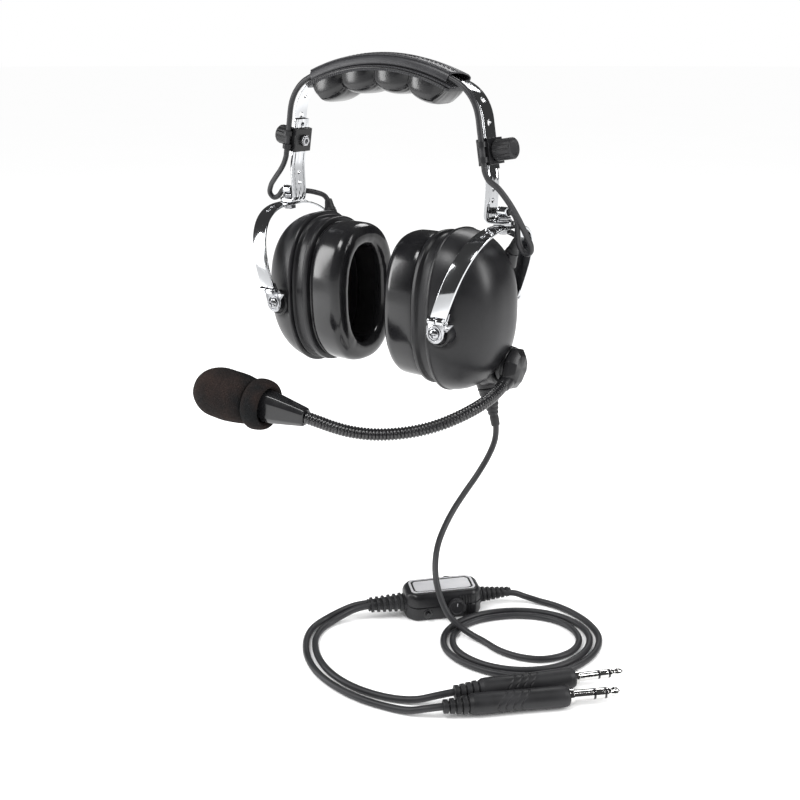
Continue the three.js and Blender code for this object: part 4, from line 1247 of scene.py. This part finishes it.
# ---- boom microphone --------------------------------------------------------------------
@dataclass
class Boom(Assembly):
    """Bezel, pointed block, gooseneck, microphone housing and its foam."""

    pivot: Point = (0.0, 14.0, -30.0)
    start: Point = (7.6, -95.8, -53.7)
    axis: Point = (-0.987, -0.13, 0.078)
    neck_r: float = 4.1

    def build_block(self) -> None:
        """The collar ring and the faceted block with its raised socket for the gooseneck."""
        collar = lathe("boom_collar_ring", [[4.4, 86.3], [12.2, 86.3], [12.6, 86.8], [12.6, 90.2],
                [12.2, 90.8], [12.5, 91.3], [12.2, 92.6], [11.4, 93.1], [4.4, 93.1]],
                       self.pivot, (1, 0, 0), 72, 0.25, closed=True)
        self.fit(collar, SATIN, "left_cup", "boom_bezel")
        outline = rounded([[-3, 13], [7, 10.2], [10.2, 3], [9, -5], [0, -15], [-11.2, -13.2], [-14.8, -3.8],
                [-12, 6]], 0.7, 3, closed=True)
        levels = [(93.4, 0.9), (94.2, 1.0), (96.4, 1.0), (96.9, 0.985), (100.4, 0.68), (100.9, 0.62)]
        points = np.stack([np.stack([np.full(len(outline), x), 14 + outline[:, 0] * k - (1 - k) * 2,
                -30 + outline[:, 1] * k], -1) for x, k in levels])
        block = surface("block", points, sharp=20)
        shaft = lathe("shaft", [[0, 74], [4, 74], [4, 95], [0, 95]], self.pivot, (1, 0, 0), 32, 0.2)
        socket = lathe("socket", [[0, -13], [5.6, -13], [5.2, -3], [4.6, 1.2], [4.0, 1.6], [0, 1.6]],
                (95.3, -1.2, -39.2), (0.08, -0.955, -0.28), 40, 0.7)
        self.fit(joined("boom_pointed_block", [block, shaft, socket]), SATIN, "boom", "boom_block")

    def build_neck(self) -> None:
        """The gooseneck: a tube whose radius rises and falls every 1.7 mm."""
        route = [(95, 0.4, -38.8), (96, -9.4, -41.4), (96, -20.6, -44.1), (94.2, -32, -46.8),
                (90, -43.5, -50), (83.6, -54.3, -53.4),
                 (74.7, -64.6, -56.4), (63.4, -74.2, -58.5), (50.3, -82.3, -59.5), (36.8, -88.4, -58.8),
                 (26.6, -91.8, -57.2), (17.4, -94, -55.4), self.start]
        neck, _ = tube("ribbed_gooseneck", route, self.neck_r, 28, 0.23,
                       lambda run: 1.0 - 0.19 * np.abs(np.cos(run * math.pi / 2.2)) ** 5)
        self.fit(neck, CONDUIT, "boom", "gooseneck")

    def build_mic(self) -> None:
        """The chamfered, tapered housing, the foam egg and its rolled cuff."""
        u, v, w = axes_of(self.axis)
        corners = rounded([[-0.62, -1], [0.62, -1], [1, -0.55], [1, 0.55], [0.62, 1], [-0.62, 1], [-1, 0.55],
                [-1, -0.55]], 0.09, 4, closed=True)
        levels = np.array([[0.5, 4.0, 4.6], [0.9, 4.7, 5.4], [2.4, 5.0, 5.8], [3.0, 5.05, 5.85],
                [12, 6.0, 7.3], [22, 7.1, 8.9], [32.6, 8.2, 9.9]])
        section = corners[None] * levels[:, None, 1:]
        line = np.asarray(self.start) + levels[:, :1] * w
        housing = sweep("mic_housing_shell", line, np.tile(u, (len(line), 1)), np.tile(v, (len(line), 1)),
                section, sharp=24)
        self.fit(housing, GLOSS, "boom", "mic_housing")
        STEEL.dress(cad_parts["mic_capsule"])

        def lumpy(along: Array, angle: Array) -> Array:
            """Small uneven swells of soft foam."""
            return (1 + 0.012 * np.sin(angle * 2 + along * 0.11) + 0.008 * np.sin(angle * 5 + along * 0.31 + 1)
                    + 0.004 * np.sin(angle * 31) * np.sin(along * 2.1) + 0.003 * np.sin(angle * 53 + along * 3.7))

        turn = np.linspace(math.pi / 2, 0.0, 24)
        nose = np.stack([17.3 * np.cos(turn) ** 0.86, 66.5 + 21.7 * np.sin(turn)], -1)[::-1]
        profile = np.vstack([[[0, 46.3], [6.5, 46.3], [6.5, 36.2], [10.6, 36.2], [10.6, 43.0], [14.0, 43.3],
                [15.4, 46], [16.3, 50], [17.0, 56], [17.3, 61]], nose])
        foam = lathe("foam_windscreen", profile, self.start, self.axis, 128, 1.2, lumpy, 60)
        self.fit(foam, FOAM, "boom", "windscreen")
        angle = np.linspace(0, 2 * math.pi, 40, endpoint=False)
        roll = np.stack([13.9 + 2.95 * np.cos(angle),
                36.0 + 6.9 * np.sin(angle) * (1 + 0.06 * np.cos(angle * 2))], 1)
        roll[:, 0] += 0.12 * np.sin(angle * 3)
        cuff = lathe("foam_rolled_cuff", roll, self.start, self.axis, 128, 0.3, lumpy, 60, closed=True)
        self.fit(cuff, FOAM, "boom", "windscreen_cuff")

    def build(self) -> None:
        """Build every piece of the boom."""
        self.build_block()
        self.build_neck()
        self.build_mic()


# ---- cables and cords ---------------------------------------------------------------------
FLOOR_Z = -192.0
CORD_R = 2.1
CORD_Z = FLOOR_Z + CORD_R
PLUG_Z = FLOOR_Z + 6.3
CLIP_Z = 73.0
MAIN_ROUTE = [
    (76.0, 21.2, -72), (77, 21.5, -80), (77, 20.3, -89), (75.4, 15, -99.5), (72.4, 5.5, -111.5),
        (70, -6, -121.5), (69.2, -18, -130),
    (70.2, -30, -138), (73, -41.5, -145.5), (77.6, -51, -152.8), (83.6, -58.6, -161), (90.4, -62.6, -171.2),
    (97.6, -63.6, -180.4), (105.4, -63, -185.6), (113.6, -62.6, -188.6),
    (124, -63, CORD_Z), (138, -66, CORD_Z), (152, -64.5, CORD_Z), (164, -58.5, CORD_Z), (172, -48, CORD_Z),
    (175, -36, CORD_Z), (172, -24.5, CORD_Z), (163, -16, CORD_Z), (151, -13, CORD_Z), (138, -15.5, CORD_Z),
    (125, -23, CORD_Z), (114, -34, CORD_Z), (106.5, -46, CORD_Z), (103.6, -58.5, CORD_Z), (106, -71, CORD_Z),
    (113.5, -80, CORD_Z), (125, -84.6, CORD_Z), (139, -84.8, CORD_Z), (153, -80.4, CORD_Z),
        (166, -71.5, CORD_Z),
    (175.4, -60, CORD_Z), (180.4, -46, CORD_Z), (181, -31, CORD_Z), (176, -18, CORD_Z), (166, -9.6, CORD_Z),
    (152, -6.8, CORD_Z), (136.5, -9.6, CORD_Z), (121.5, -18, CORD_Z), (109.5, -30, CORD_Z),
        (101.6, -43.5, CORD_Z),
    (98.2, -58, CORD_Z), (100.6, -73, CORD_Z), (109.4, -84.6, CORD_Z), (123, -90.2, CORD_Z),
        (140, -90.4, CORD_Z),
    (156, -85.4, CORD_Z), (170.4, -75.4, CORD_Z), (180.6, -62.6, CORD_Z), (186, -47, CORD_Z),
        (186.6, -30, CORD_Z),
    (181, -14.5, CORD_Z), (169.4, -4, CORD_Z), (155, 2, CORD_Z), (140, 4, CORD_Z), (127, 2, CORD_Z + 0.4),
    (118.4, -2.6, CORD_Z + 3), (113.4, -8, CORD_Z + 6.2), (104, -17, -183.4), (93, -28, -183.4),
]
HEADPHONE_ROUTE = [
    (46, -76, -182.6), (41.5, -82, -182.6), (36.4, -87.6, -183.6), (30.6, -94.6, -186.6),
        (26.4, -103.4, -189.2), (25.8, -114, CORD_Z),
    (29.8, -125.4, CORD_Z), (38.4, -137, CORD_Z), (50.4, -147, CORD_Z), (65, -154, CORD_Z),
        (82, -157.6, CORD_Z),
    (100, -157.8, CORD_Z), (117, -154.6, CORD_Z), (130, -150.6, -189), (138.6, -146.4, -186.6),
        (145.5, -140.5, -185.7), (166.7, -119.3, -185.7),
]
MIC_ROUTE = [
    (49.4, -79, -182.6), (44.8, -85, -182.6), (40.2, -90.6, -183.8), (35.2, -97.2, -187), (32, -105, -189.6),
        (32, -114, CORD_Z),
    (36, -124.4, CORD_Z), (44, -134, CORD_Z), (55, -142.2, CORD_Z), (68.6, -148.2, CORD_Z),
        (84, -151, CORD_Z),
    (100, -150.2, CORD_Z), (115, -146, CORD_Z), (127, -140, -189), (136.4, -132.4, -186.6),
        (142.7, -125.35, -185.7), (162.8, -102.6, -185.7),
]
LEFT_LOOP = [
    (82.12, CABLE_Y, 99.9), (82.5, CABLE_Y, 97.8), (85.6, -10.4, 92.6), (91.5, -9, 88), (97, -4.5, 79),
        (101.4, 1, 68), (104.4, 6.5, 57),
    (105.4, 9.6, 51.5), (104.2, 11.6, 47.4), (101.2, 12.2, 45.7), (98.2, 11.2, 47.8), (97.2, 8.6, 52.4),
        (98, 5.2, 59), (99.4, 2.2, 65.6),
    (99.2, 0.5, 69.8), (97.2, 0, 72.6), (94, 0, CLIP_Z), (90.8, 0, CLIP_Z),
]
RIGHT_LOOP = [
    (82.12, CABLE_Y, 99.9), (82.5, CABLE_Y, 97.8), (85.2, -10.2, 92.6), (90.2, -9, 87.2), (97, -7.2, 81.5),
        (103.4, -5.4, 75.4),
    (106.4, -3.6, 69.4), (104.4, -1.8, 66.2), (100.6, -0.6, 67.8), (98, 0, 71.2), (95.4, 0, CLIP_Z),
        (90.8, 0, CLIP_Z),
]
LEFT_TAIL = [
    (90.8, 0, CLIP_Z), (88.4, 0, CLIP_Z), (86.6, 0, CLIP_Z), (85.4, 2.2, 71.9), (85, 5.6, 71.8),
    (83.8, 9.6, 70.8), (81, 12.8, 67.4), (80.6, 15.6, 62.4), (82.4, 17.8, 58), (86, 19.4, 56.2),
        (88.6, 20, 54.6), (88.6, 20, 51.2),
]
RIGHT_TAIL = [
    (90.8, 0, CLIP_Z), (88.4, 0, CLIP_Z), (86.6, 0, CLIP_Z), (85.4, 2.2, 71.9), (84.9, 6, 71.8),
    (81.6, 10.2, 71.4), (76.4, 13.2, 70.4), (70.8, 15.6, 68.4), (67.8, 16.8, 64.4),
]


class Lay(Enum):
    LOOSE = "loose"
    HANGING = "hanging"


@dataclass
class Cords(Assembly):
    """Every free cord, its gland, boots and plugs."""

    def cord(self, name: str, route: Sequence, radius: float, node: str, bodies: Tuple[str, ...],
            far_end: str, lay: Lay,
             pieces: Sequence = (), spacing: float = 1.6) -> bpy.types.Object:
        """Build one cord, dress it, place it, and hide the CAD node that it replaces.

        Args:
            name: the piece's name.
            route: its middle line's corners.
            radius: its radius.
            node: the CAD node that it replaces.
            bodies: one body to ride on; with two, the cord rides on neither and stays where it was built.
            lay: not used.
            pieces: not used.
            spacing: distance between rings.

        Returns:
            The cord.
        """
        cord, path = tube(name, route, radius, 16, spacing)
        JACKET.dress(cord)
        if len(bodies) == 1:
            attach(cord, bodies[0])
        else:
            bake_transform(cord)
        self.note(cord, JACKET, node)
        return cord

    def build_gland(self) -> None:
        """The moulded gland under the left cup: a taper with shallow rings."""
        rings = [[0, 0.2], [7.3, 0.2], [7.4, 1.6], [6.9, 2.6], [6.9, 5.4]]
        for i in range(5):
            r, at = 6.2 - 0.62 * i, 6.4 + i * 3.0
            rings += [[r, at], [r - 0.1, at + 1.7], [r - 0.75, at + 2.0], [r - 0.8, at + 2.7]]
        rings += [[3.2, 22.5], [3.0, 28.4], [2.6, 29], [0, 29]]
        gland = lathe("main_cord_gland", rings, (71, 19, -50), (0.2, 0.085, -0.976), 48, 0.5)
        self.fit(gland, RUBBER, "left_cup", "cord_gland")

    def build_boot(self, side: str, top: Sequence[float], axis: Sequence[float], length: float) -> None:
        """A small tapered boot where a cable enters the dome.

        Args:
            side: left or right.
            top: where the cable leaves it.
            axis: the way down into the dome.
            length: its length.
        """
        boot = lathe(f"{side}_cable_boot", [[1.7, -1.2], [2.4, -1.0], [2.7, 0], [3.1, length * 0.3],
                [3.0, length * 0.36], [3.5, length * 0.6],
                                            [3.4, length * 0.66], [4.4, length * 0.95], [4.3, length],
                                            [1.7, length]], top, axis, 32, 0.3, closed=True)
        self.fit(boot, RUBBER, f"{side}_cup")

    def build_plug(self, name: str, start: Sequence[float], heading: float,
            shaft_r: float) -> List[bpy.types.Object]:
        """One plug: a grip with a ribbed neck and curved grooves, a contact shaft and two insulators.

        Args:
            name: headphone or mic.
            start: the neck's end.
            heading: direction in degrees from +X.
            shaft_r: the sleeve's radius.

        Returns:
            Grip, shaft and insulators.
        """
        angle = math.radians(heading)
        axis = (math.cos(angle), math.sin(angle), 0.0)
        neck = [[0, 0], [2.9, 0]]
        for i in range(4):
            at, r = 0.4 + i * 3.7, 4.0 + i * 0.42
            neck += [[r, at], [r, at + 2.6], [r - 1.3, at + 2.8], [r - 1.2, at + 3.5]]
        profile = neck + [[5.0, 15.2], [6.1, 17.4], [6.25, 20], [6.25, 70.5], [5.9, 72.6], [5.2, 74], [0, 74]]
        fine = [p for p in profile if p[1] <= 20] + [[6.25, a] for a in np.arange(21, 70, 0.5)] + profile[-4:]

        def grooved(along: Array, turn: Array) -> Array:
            """Four thin grooves that bow along the grip, each a Gaussian dip in the radius.

            Args:
                along: distance along the grip.
                turn: angle round it.

            Returns:
                The factor on the radius.
            """
            face = np.clip(np.cos(turn * 2) * 2, 0, 1)
            bow = 6.0 * np.sin(turn) ** 2
            depth = sum(np.exp(-(((along - c - bow) / 0.55) ** 2)) for c in (31.0, 35.5, 40.0, 44.5))
            waist = np.exp(-(((along - 46) / 15) ** 2))
            return 1 - 0.095 * depth * (0.45 + 0.55 * face) - 0.03 * waist

        grip = lathe(f"{name}_grip", fine, start, axis, 72, 0.25, grooved)
        self.fit(grip, RUBBER, "left_stirrup", f"{name}_plug_grip")
        r = shaft_r
        metal = [[0, 74.3], [r + 1.2, 74.3], [r + 1.2, 76.5], [r, 76.6], [r, 88.4], [r * 0.93, 88.5],
                [r * 0.93, 89.7], [r, 89.8], [r, 95.0],
                 [r * 0.93, 95.1], [r * 0.93, 96.2], [r, 96.3], [r, 97.2], [r * 0.68, 99.0], [r * 0.66, 99.6],
                 [r * 0.92, 101.2], [r * 0.86, 103], [r * 0.45, 104.6], [0, 104.9]]
        shaft = lathe(f"{name}_contacts", metal, start, axis, 48, 0.12)
        self.fit(shaft, NICKEL, "left_stirrup", f"{name}_plug_shaft")
        bands = []
        for at in (88.5, 95.1):
            bands.append(lathe("band", [[r * 0.9, at], [r * 1.005, at], [r * 1.005, at + 1.15],
                    [r * 0.9, at + 1.15]], start, axis, 48, 0.08, closed=True))
        rings = self.fit(joined(f"{name}_insulators", bands), GLOSS, "left_stirrup")
        return [grip, shaft, rings]

    def build(self, box: "ControlBox") -> None:
        """Build every cord, the gland, the plugs and the boots.

        Args:
            box: the control box, already built.
        """
        self.build_gland()
        self.cord("main_lead", MAIN_ROUTE, CORD_R, "main_cord", ("left_cup", "left_stirrup"), "object",
                Lay.LOOSE, box.made + box.kept, 1.9)
        plugs = self.build_plug("headphone", (145.8, -140.2, PLUG_Z), 45, 3.17)
        self.cord("headphone_lead", HEADPHONE_ROUTE, CORD_R, "headphone_cord", ("left_stirrup",), "plug",
                Lay.LOOSE, plugs)
        plugs = self.build_plug("mic", (143, -125, PLUG_Z), 48.5, 2.6)
        self.cord("mic_lead", MIC_ROUTE, CORD_R, "mic_cord", ("left_stirrup",), "plug", Lay.LOOSE, plugs)
        for side, loop, tail in (("left", LEFT_LOOP, LEFT_TAIL), ("right", RIGHT_LOOP, RIGHT_TAIL)):
            mirror = np.array([side_sign(side), 1.0, 1.0])
            self.cord(f"{side}_slack_loop", np.array(loop) * mirror, CABLE_R, f"{side}_cable_loop",
                    ("headband", f"{side}_slide"), "object", Lay.HANGING, (), 0.9)
            self.cord(f"{side}_dome_tail", np.array(tail) * mirror, CABLE_R, f"{side}_cable_tail",
                    (f"{side}_stirrup", f"{side}_cup"), "object", Lay.HANGING, (), 0.9)
        self.build_boot("left", (88.6, 20, 51.6), (-0.4, 0.05, -0.915), 8.0)
        self.build_boot("right", (-67.9, 16.8, 65), (0.1, 0.1, -0.98), 6.5)


# ---- control box -------------------------------------------------------------------------
@dataclass
class ControlBox(Assembly):
    """The volume box: two shells, silver plate, jack ring, serrated knobs and ribbed reliefs.

    kept holds the CAD nodes that are dressed and not replaced.
    """

    centre: Point = (78.0, -44.0, FLOOR_Z)
    yaw: float = math.radians(48)
    long: float = 52.0
    wide: float = 26.0
    tall: float = 19.0
    split: float = 9.6
    kept: List[bpy.types.Object] = field(default_factory=list)

    @property
    def across(self) -> Array:
        """The box's long direction."""
        return np.array([math.cos(self.yaw), math.sin(self.yaw), 0.0])

    @property
    def deep(self) -> Array:
        """The box's short direction, towards its rear."""
        return np.array([-math.sin(self.yaw), math.cos(self.yaw), 0.0])

    def at(self, x: float, y: float, z: float) -> Array:
        """A point of the box, in the headset's frame."""
        return np.array(self.centre) + x * self.across + y * self.deep + z * UP

    def spread(self, plan: Array, z: float) -> Array:
        """A plan outline at a height, in the headset's frame."""
        return np.array(self.centre) + plan[:, :1] * self.across + plan[:, 1:] * self.deep + z * UP

    def outline(self, inset: float) -> Array:
        """The box's plan: a rectangle with cut and rounded corners."""
        a, b, c = self.long / 2 - inset, self.wide / 2 - inset, max(6 - inset, 0.5)
        return rounded([[-a + c, -b], [a - c, -b], [a, -b + c], [a, b - c], [a - c, b], [-a + c, b],
                [-a, b - c], [-a, -b + c]], 2.4, 5, closed=True)

    def shell(self, name: str, levels: Sequence[Tuple[float, float]]) -> bpy.types.Object:
        """A closed shell from (height, inset) levels of the plan."""
        return surface(name, np.stack([self.spread(self.outline(inset), z) for z, inset in levels]), sharp=30)

    def build_shells(self) -> None:
        """Lower and upper shell with a fine parting line, silver plate and frame, ticks, ribs and jack."""
        s, t = self.split, self.tall
        lower = self.shell("box_base_shell", [(0.0, 2.6), (0.0, 1.6), (0.5, 0.7), (1.6, 0.1), (2.4, 0.0),
                (s - 0.5, 0.0), (s - 0.1, 0.35), (s - 0.1, 3.0)])
        self.fit(lower, SATIN, "left_stirrup", "box_lower_shell")
        upper = self.shell("box_lid_shell", [(s + 0.2, 3.0), (s + 0.2, 0.35), (s + 0.6, 0.0), (t - 3.6, 0.0),
                (t - 1.6, 0.9), (t - 0.5, 2.2), (t - 0.1, 3.2), (t - 0.1, 4.0)])
        self.fit(upper, SATIN, "left_stirrup", "box_upper_shell")
        a, b = self.long / 2 - 5.4, self.wide / 2 - 5.0
        label = rounded([[-a + 2, -b], [a - 2, -b], [a, -b + 2], [a, b - 2], [a - 2, b], [-a + 2, b],
                [-a, b - 2], [-a, -b + 2]], 1.0, 4, closed=True)
        silver = plate("box_silver_plate", label * [0.93, 0.84], 0.5, self.at(0, 0, t), self.across,
                self.deep, 0.15)
        self.fit(silver, SILVER, "left_stirrup")
        rows = [(1.06, 1.1, -0.3), (1.06, 1.1, 0.35), (0.99, 0.97, 0.35), (0.99, 0.97, -0.3)]
        flat = [self.spread(label * [long, wide], t + z) for long, wide, z in rows]
        self.fit(surface("box_plate_frame", np.stack(flat), wrap_rows=True, sharp=30), SILVER, "left_stirrup")
        ticks = [plate("tick", rounded([[-0.4, -1.0], [0.4, -1.0], [0.4, 1.0], [-0.4, 1.0]], 0.2, 3,
                closed=True), 0.25,
                       self.at(7 + 2.2 * i, way * (self.wide / 2 - 2.0 + 0.25 * abs(i)),
                       t - 1.75 - 0.17 * abs(i)), self.across,
                       (way * self.deep * 0.86 - 0.5 * UP) / 0.995, 0.06) for way in (-1,
                       1) for i in range(-2, 3)]
        self.fit(joined("box_scale_ticks", ticks), SILVER, "left_stirrup")
        ribs = []
        for i in range(5):
            x = self.long / 2 - 8.5 - i * 1.9
            for way in (-1, 1):
                rib = rounded([[-0.45, 2.2], [0.45, 2.2], [0.45, t - 2.6], [-0.45, t - 2.6]], 0.3, 3,
                        closed=True)
                ribs.append(plate("rib", rib, 0.8, self.at(x, way * self.wide / 2, 0), self.across, [0, 0, 1],
                        0.15))
        self.fit(joined("box_grip_ribs", ribs), SATIN, "left_stirrup")
        jack = lathe("box_jack_ring", [[1.5, -2.2], [3.2, -0.2], [3.2, 0.25], [2.9, 0.45], [1.8, 0.45],
                [1.5, 0.2]], self.at(-12, -self.wide / 2, 5.5), -self.deep, 40, 0.1, closed=True)
        self.fit(jack, GLOSS, "left_stirrup")
        hole = lathe("box_jack_bore", [[0, -0.2], [1.6, -0.2], [1.6, -2.0], [0, -2.0]],
                self.at(-12, -self.wide / 2 - 0.35, 5.5), self.deep, 24, 0.05)
        self.fit(hole, GLOSS, "left_stirrup")
        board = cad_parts["circuit_board"]
        BOARD.dress(board)
        self.kept.append(board)

    def build_knobs(self) -> None:
        """Two serrated thumb wheels with dished faces.

        They turn on bodies of their own, so they leave the box's list of made pieces.
        """
        def serrated(along: Array, angle: Array) -> Array:
            """Twenty-eight fine teeth round the rim."""
            return 1 - 0.06 * np.clip((along - 13.6) * 3, 0, 1) * np.clip((17.2 - along) * 3, 0,
                    1) * np.maximum(0, np.cos(angle * 28))

        for end, way in (("front", -1.0), ("rear", 1.0)):
            wheel = lathe(f"{end}_thumb_wheel", [[0, 8], [1.5, 8], [1.5, 13.3], [5.4, 13.3], [5.9, 13.7],
                    [5.9, 17.1], [5.5, 17.5], [4.4, 17.5], [4.0, 16.9], [1.6, 16.7], [0, 16.7]],
                          self.at(7, 0, 9.75), way * self.deep, 168, 0.15, serrated)
            self.fit(wheel, RUBBER, f"{end}_knob", f"{end}_volume_knob")
            mark = plate(f"{end}_wheel_mark", rounded([[-0.35, 1.2], [0.35, 1.2], [0.35, 3.6], [-0.35, 3.6]],
                    0.2, 3, closed=True), 0.3,
                         self.at(7, way * 16.95, 9.75), self.across, [0, 0, 1], 0.05)
            self.fit(mark, STEEL, f"{end}_knob")
            del self.made[-2:]

    def build_reliefs(self) -> None:
        """The round ribbed relief of the main cord and the wide ribbed relief of the two plug leads."""
        end = self.long / 2 + 0.2
        rings = [[0, end - 1.5], [5.6, end - 1.5], [5.6, end + 1.0]]
        for i in range(6):
            at, r = end + 1.6 + i * 3.4, 5.1 - i * 0.34
            rings += [[r - 1.0, at], [r, at + 0.2], [r, at + 2.3], [r - 1.0, at + 2.5]]
        rings += [[2.9, end + 22.0], [2.4, end + 22.4], [0, end + 22.4]]
        round_relief = lathe("main_cord_relief", rings, self.at(0, 0, 8.6), self.across, 40, 0.35)
        self.fit(round_relief, RUBBER, "left_stirrup", "box_cord_relief")
        section = rectangle(2.0, 2.0, 0.7)
        steps = [(end - 1.2, 1.04)]
        for i in range(6):
            at, k = end + 0.9 + i * 3.9, 1.0 - i * 0.045
            steps += [(at, k - 0.25), (at + 0.35, k), (at + 2.0, k), (at + 2.4, k - 0.25)]
        steps += [(end + 24.0, 0.62), (end + 24.4, 0.5)]
        along = np.array([p[0] for p in steps])
        size = np.array([p[1] for p in steps])
        line = np.array(self.centre) - along[:, None] * self.across + 8.8 * UP
        shaped = section[None] * np.stack([7.2 * (0.35 + 0.65 * size), 4.7 * size], -1)[:, None]
        flat_relief = sweep("plug_lead_relief", line, np.tile(self.deep, (len(line), 1)),
                np.tile(UP, (len(line), 1)), shaped, sharp=35)
        self.fit(flat_relief, RUBBER, "left_stirrup", "plug_cords_relief")

    def build(self) -> None:
        """Build every piece of the box."""
        self.build_shells()
        self.build_knobs()
        self.build_reliefs()


# ---- studio -------------------------------------------------------------------------------
@dataclass
class Studio:
    """Camera, pale floor and soft lights."""

    azimuth: float = 37.0
    elevation: float = 18.9
    lens: float = 45.675
    distance: float = 0.729
    target: Point = (0.0062, 0.0047, -0.0696)

    def direction(self, azimuth: float, elevation: float) -> Vector:
        """Unit vector from the target towards a viewer at that azimuth and elevation."""
        a, e = math.radians(azimuth), math.radians(elevation)
        return Vector((math.sin(a) * math.cos(e), -math.cos(a) * math.cos(e), math.sin(e)))

    def build_camera(self) -> None:
        """The camera, aimed at the target."""
        data = bpy.data.cameras.new("camera")
        data.lens, data.sensor_width, data.clip_end = self.lens, 36.0, 50.0
        camera = placed("camera", data)
        away = self.direction(self.azimuth, self.elevation)
        camera.location = Vector(self.target) + away * self.distance
        camera.rotation_euler = away.to_track_quat("Z", "Y").to_euler()
        bpy.context.scene.camera = camera

    def soft_light(self, name: str, azimuth: float, elevation: float, away: float, size: Tuple[float, float],
            power: float) -> None:
        """A rectangular soft light that faces the target.

        Args:
            name: the lamp's name.
            azimuth: its direction in degrees.
            elevation: its height in degrees.
            away: its distance in metres.
            size: its width and height in metres.
            power: its power in watts.
        """
        data = bpy.data.lights.new(name, "AREA")
        data.shape, data.size, data.size_y, data.energy = "RECTANGLE", size[0], size[1], power
        lamp = placed(name, data)
        toward = self.direction(azimuth, elevation)
        lamp.location = Vector(self.target) + toward * away
        lamp.rotation_euler = toward.to_track_quat("Z", "Y").to_euler()

    def build_floor(self) -> None:
        """A large pale disc at the floor's height, with the faintest mottling."""
        angle = np.arange(96) / 96 * 2 * math.pi
        radii = np.array([0.0, 600.0, 4000.0, 30000.0])
        points = np.stack([radii[:, None] * np.cos(angle), radii[:, None] * np.sin(angle),
                np.full((4, 96), FLOOR_Z - 0.15)], -1)
        mesh = bpy.data.meshes.new("studio_floor")
        mesh.from_pydata((points.reshape(-1, 3) * MM).tolist(), [], grid_faces(4, 96, False, True).tolist())
        floor = placed("studio_floor", mesh)
        made = bpy.data.materials.new("pale_floor")
        made.use_nodes = True
        nodes, links = made.node_tree.nodes, made.node_tree.links
        noise = nodes.new("ShaderNodeTexNoise")
        noise.inputs["Scale"].default_value = 3.0
        ramp = nodes.new("ShaderNodeValToRGB")
        ramp.color_ramp.elements[0].color = (0.975, 0.975, 0.975, 1)
        ramp.color_ramp.elements[1].color = (0.985, 0.985, 0.985, 1)
        links.new(nodes.new("ShaderNodeTexCoord").outputs["Object"], noise.inputs["Vector"])
        links.new(noise.outputs["Fac"], ramp.inputs["Fac"])
        links.new(ramp.outputs["Color"], nodes["Principled BSDF"].inputs["Base Color"])
        nodes["Principled BSDF"].inputs["Roughness"].default_value = 1.0
        nodes["Principled BSDF"].inputs["Specular IOR Level"].default_value = 0.0
        mesh.materials.append(made)

    def build_light(self) -> None:
        """A white surround that reflections see as dim, with soft boxes on both sides, above and behind."""
        world = bpy.data.worlds.new("surround")
        world.use_nodes = True
        nodes, links = world.node_tree.nodes, world.node_tree.links
        nodes["Background"].inputs["Color"].default_value = (1.0, 1.0, 1.0, 1.0)
        strength = nodes.new("ShaderNodeMapRange")
        strength.inputs["To Min"].default_value = 1.0
        strength.inputs["To Max"].default_value = 0.06
        links.new(nodes.new("ShaderNodeLightPath").outputs["Is Glossy Ray"], strength.inputs["Value"])
        links.new(strength.outputs["Result"], nodes["Background"].inputs["Strength"])
        bpy.context.scene.world = world
        bpy.context.scene.view_settings.view_transform = "Standard"
        self.soft_light("key_box", -8, 56, 1.2, (0.55, 0.3), 7.0)
        self.soft_light("right_strip", 100, 30, 1.0, (0.22, 0.6), 5.0)
        self.soft_light("left_strip", -48, 20, 1.0, (0.22, 0.6), 4.5)
        self.soft_light("back_box", 195, 45, 1.3, (0.6, 0.3), 4.0)

    def build(self) -> None:
        """Build the studio."""
        self.build_camera()
        self.build_floor()
        self.build_light()


def main() -> None:
    """Build the studio and cords first, then every sub-assembly."""
    logging.basicConfig(level=logging.INFO, format="%(message)s")
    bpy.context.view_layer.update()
    Studio().build()
    box = ControlBox()
    box.build()
    Cords().build(box)
    Headband().build()
    for side in ("left", "right"):
        Arm(side=side).build()
        Cup(side=side).build()
    Boom().build()


if __name__ == "__main__":
    main()
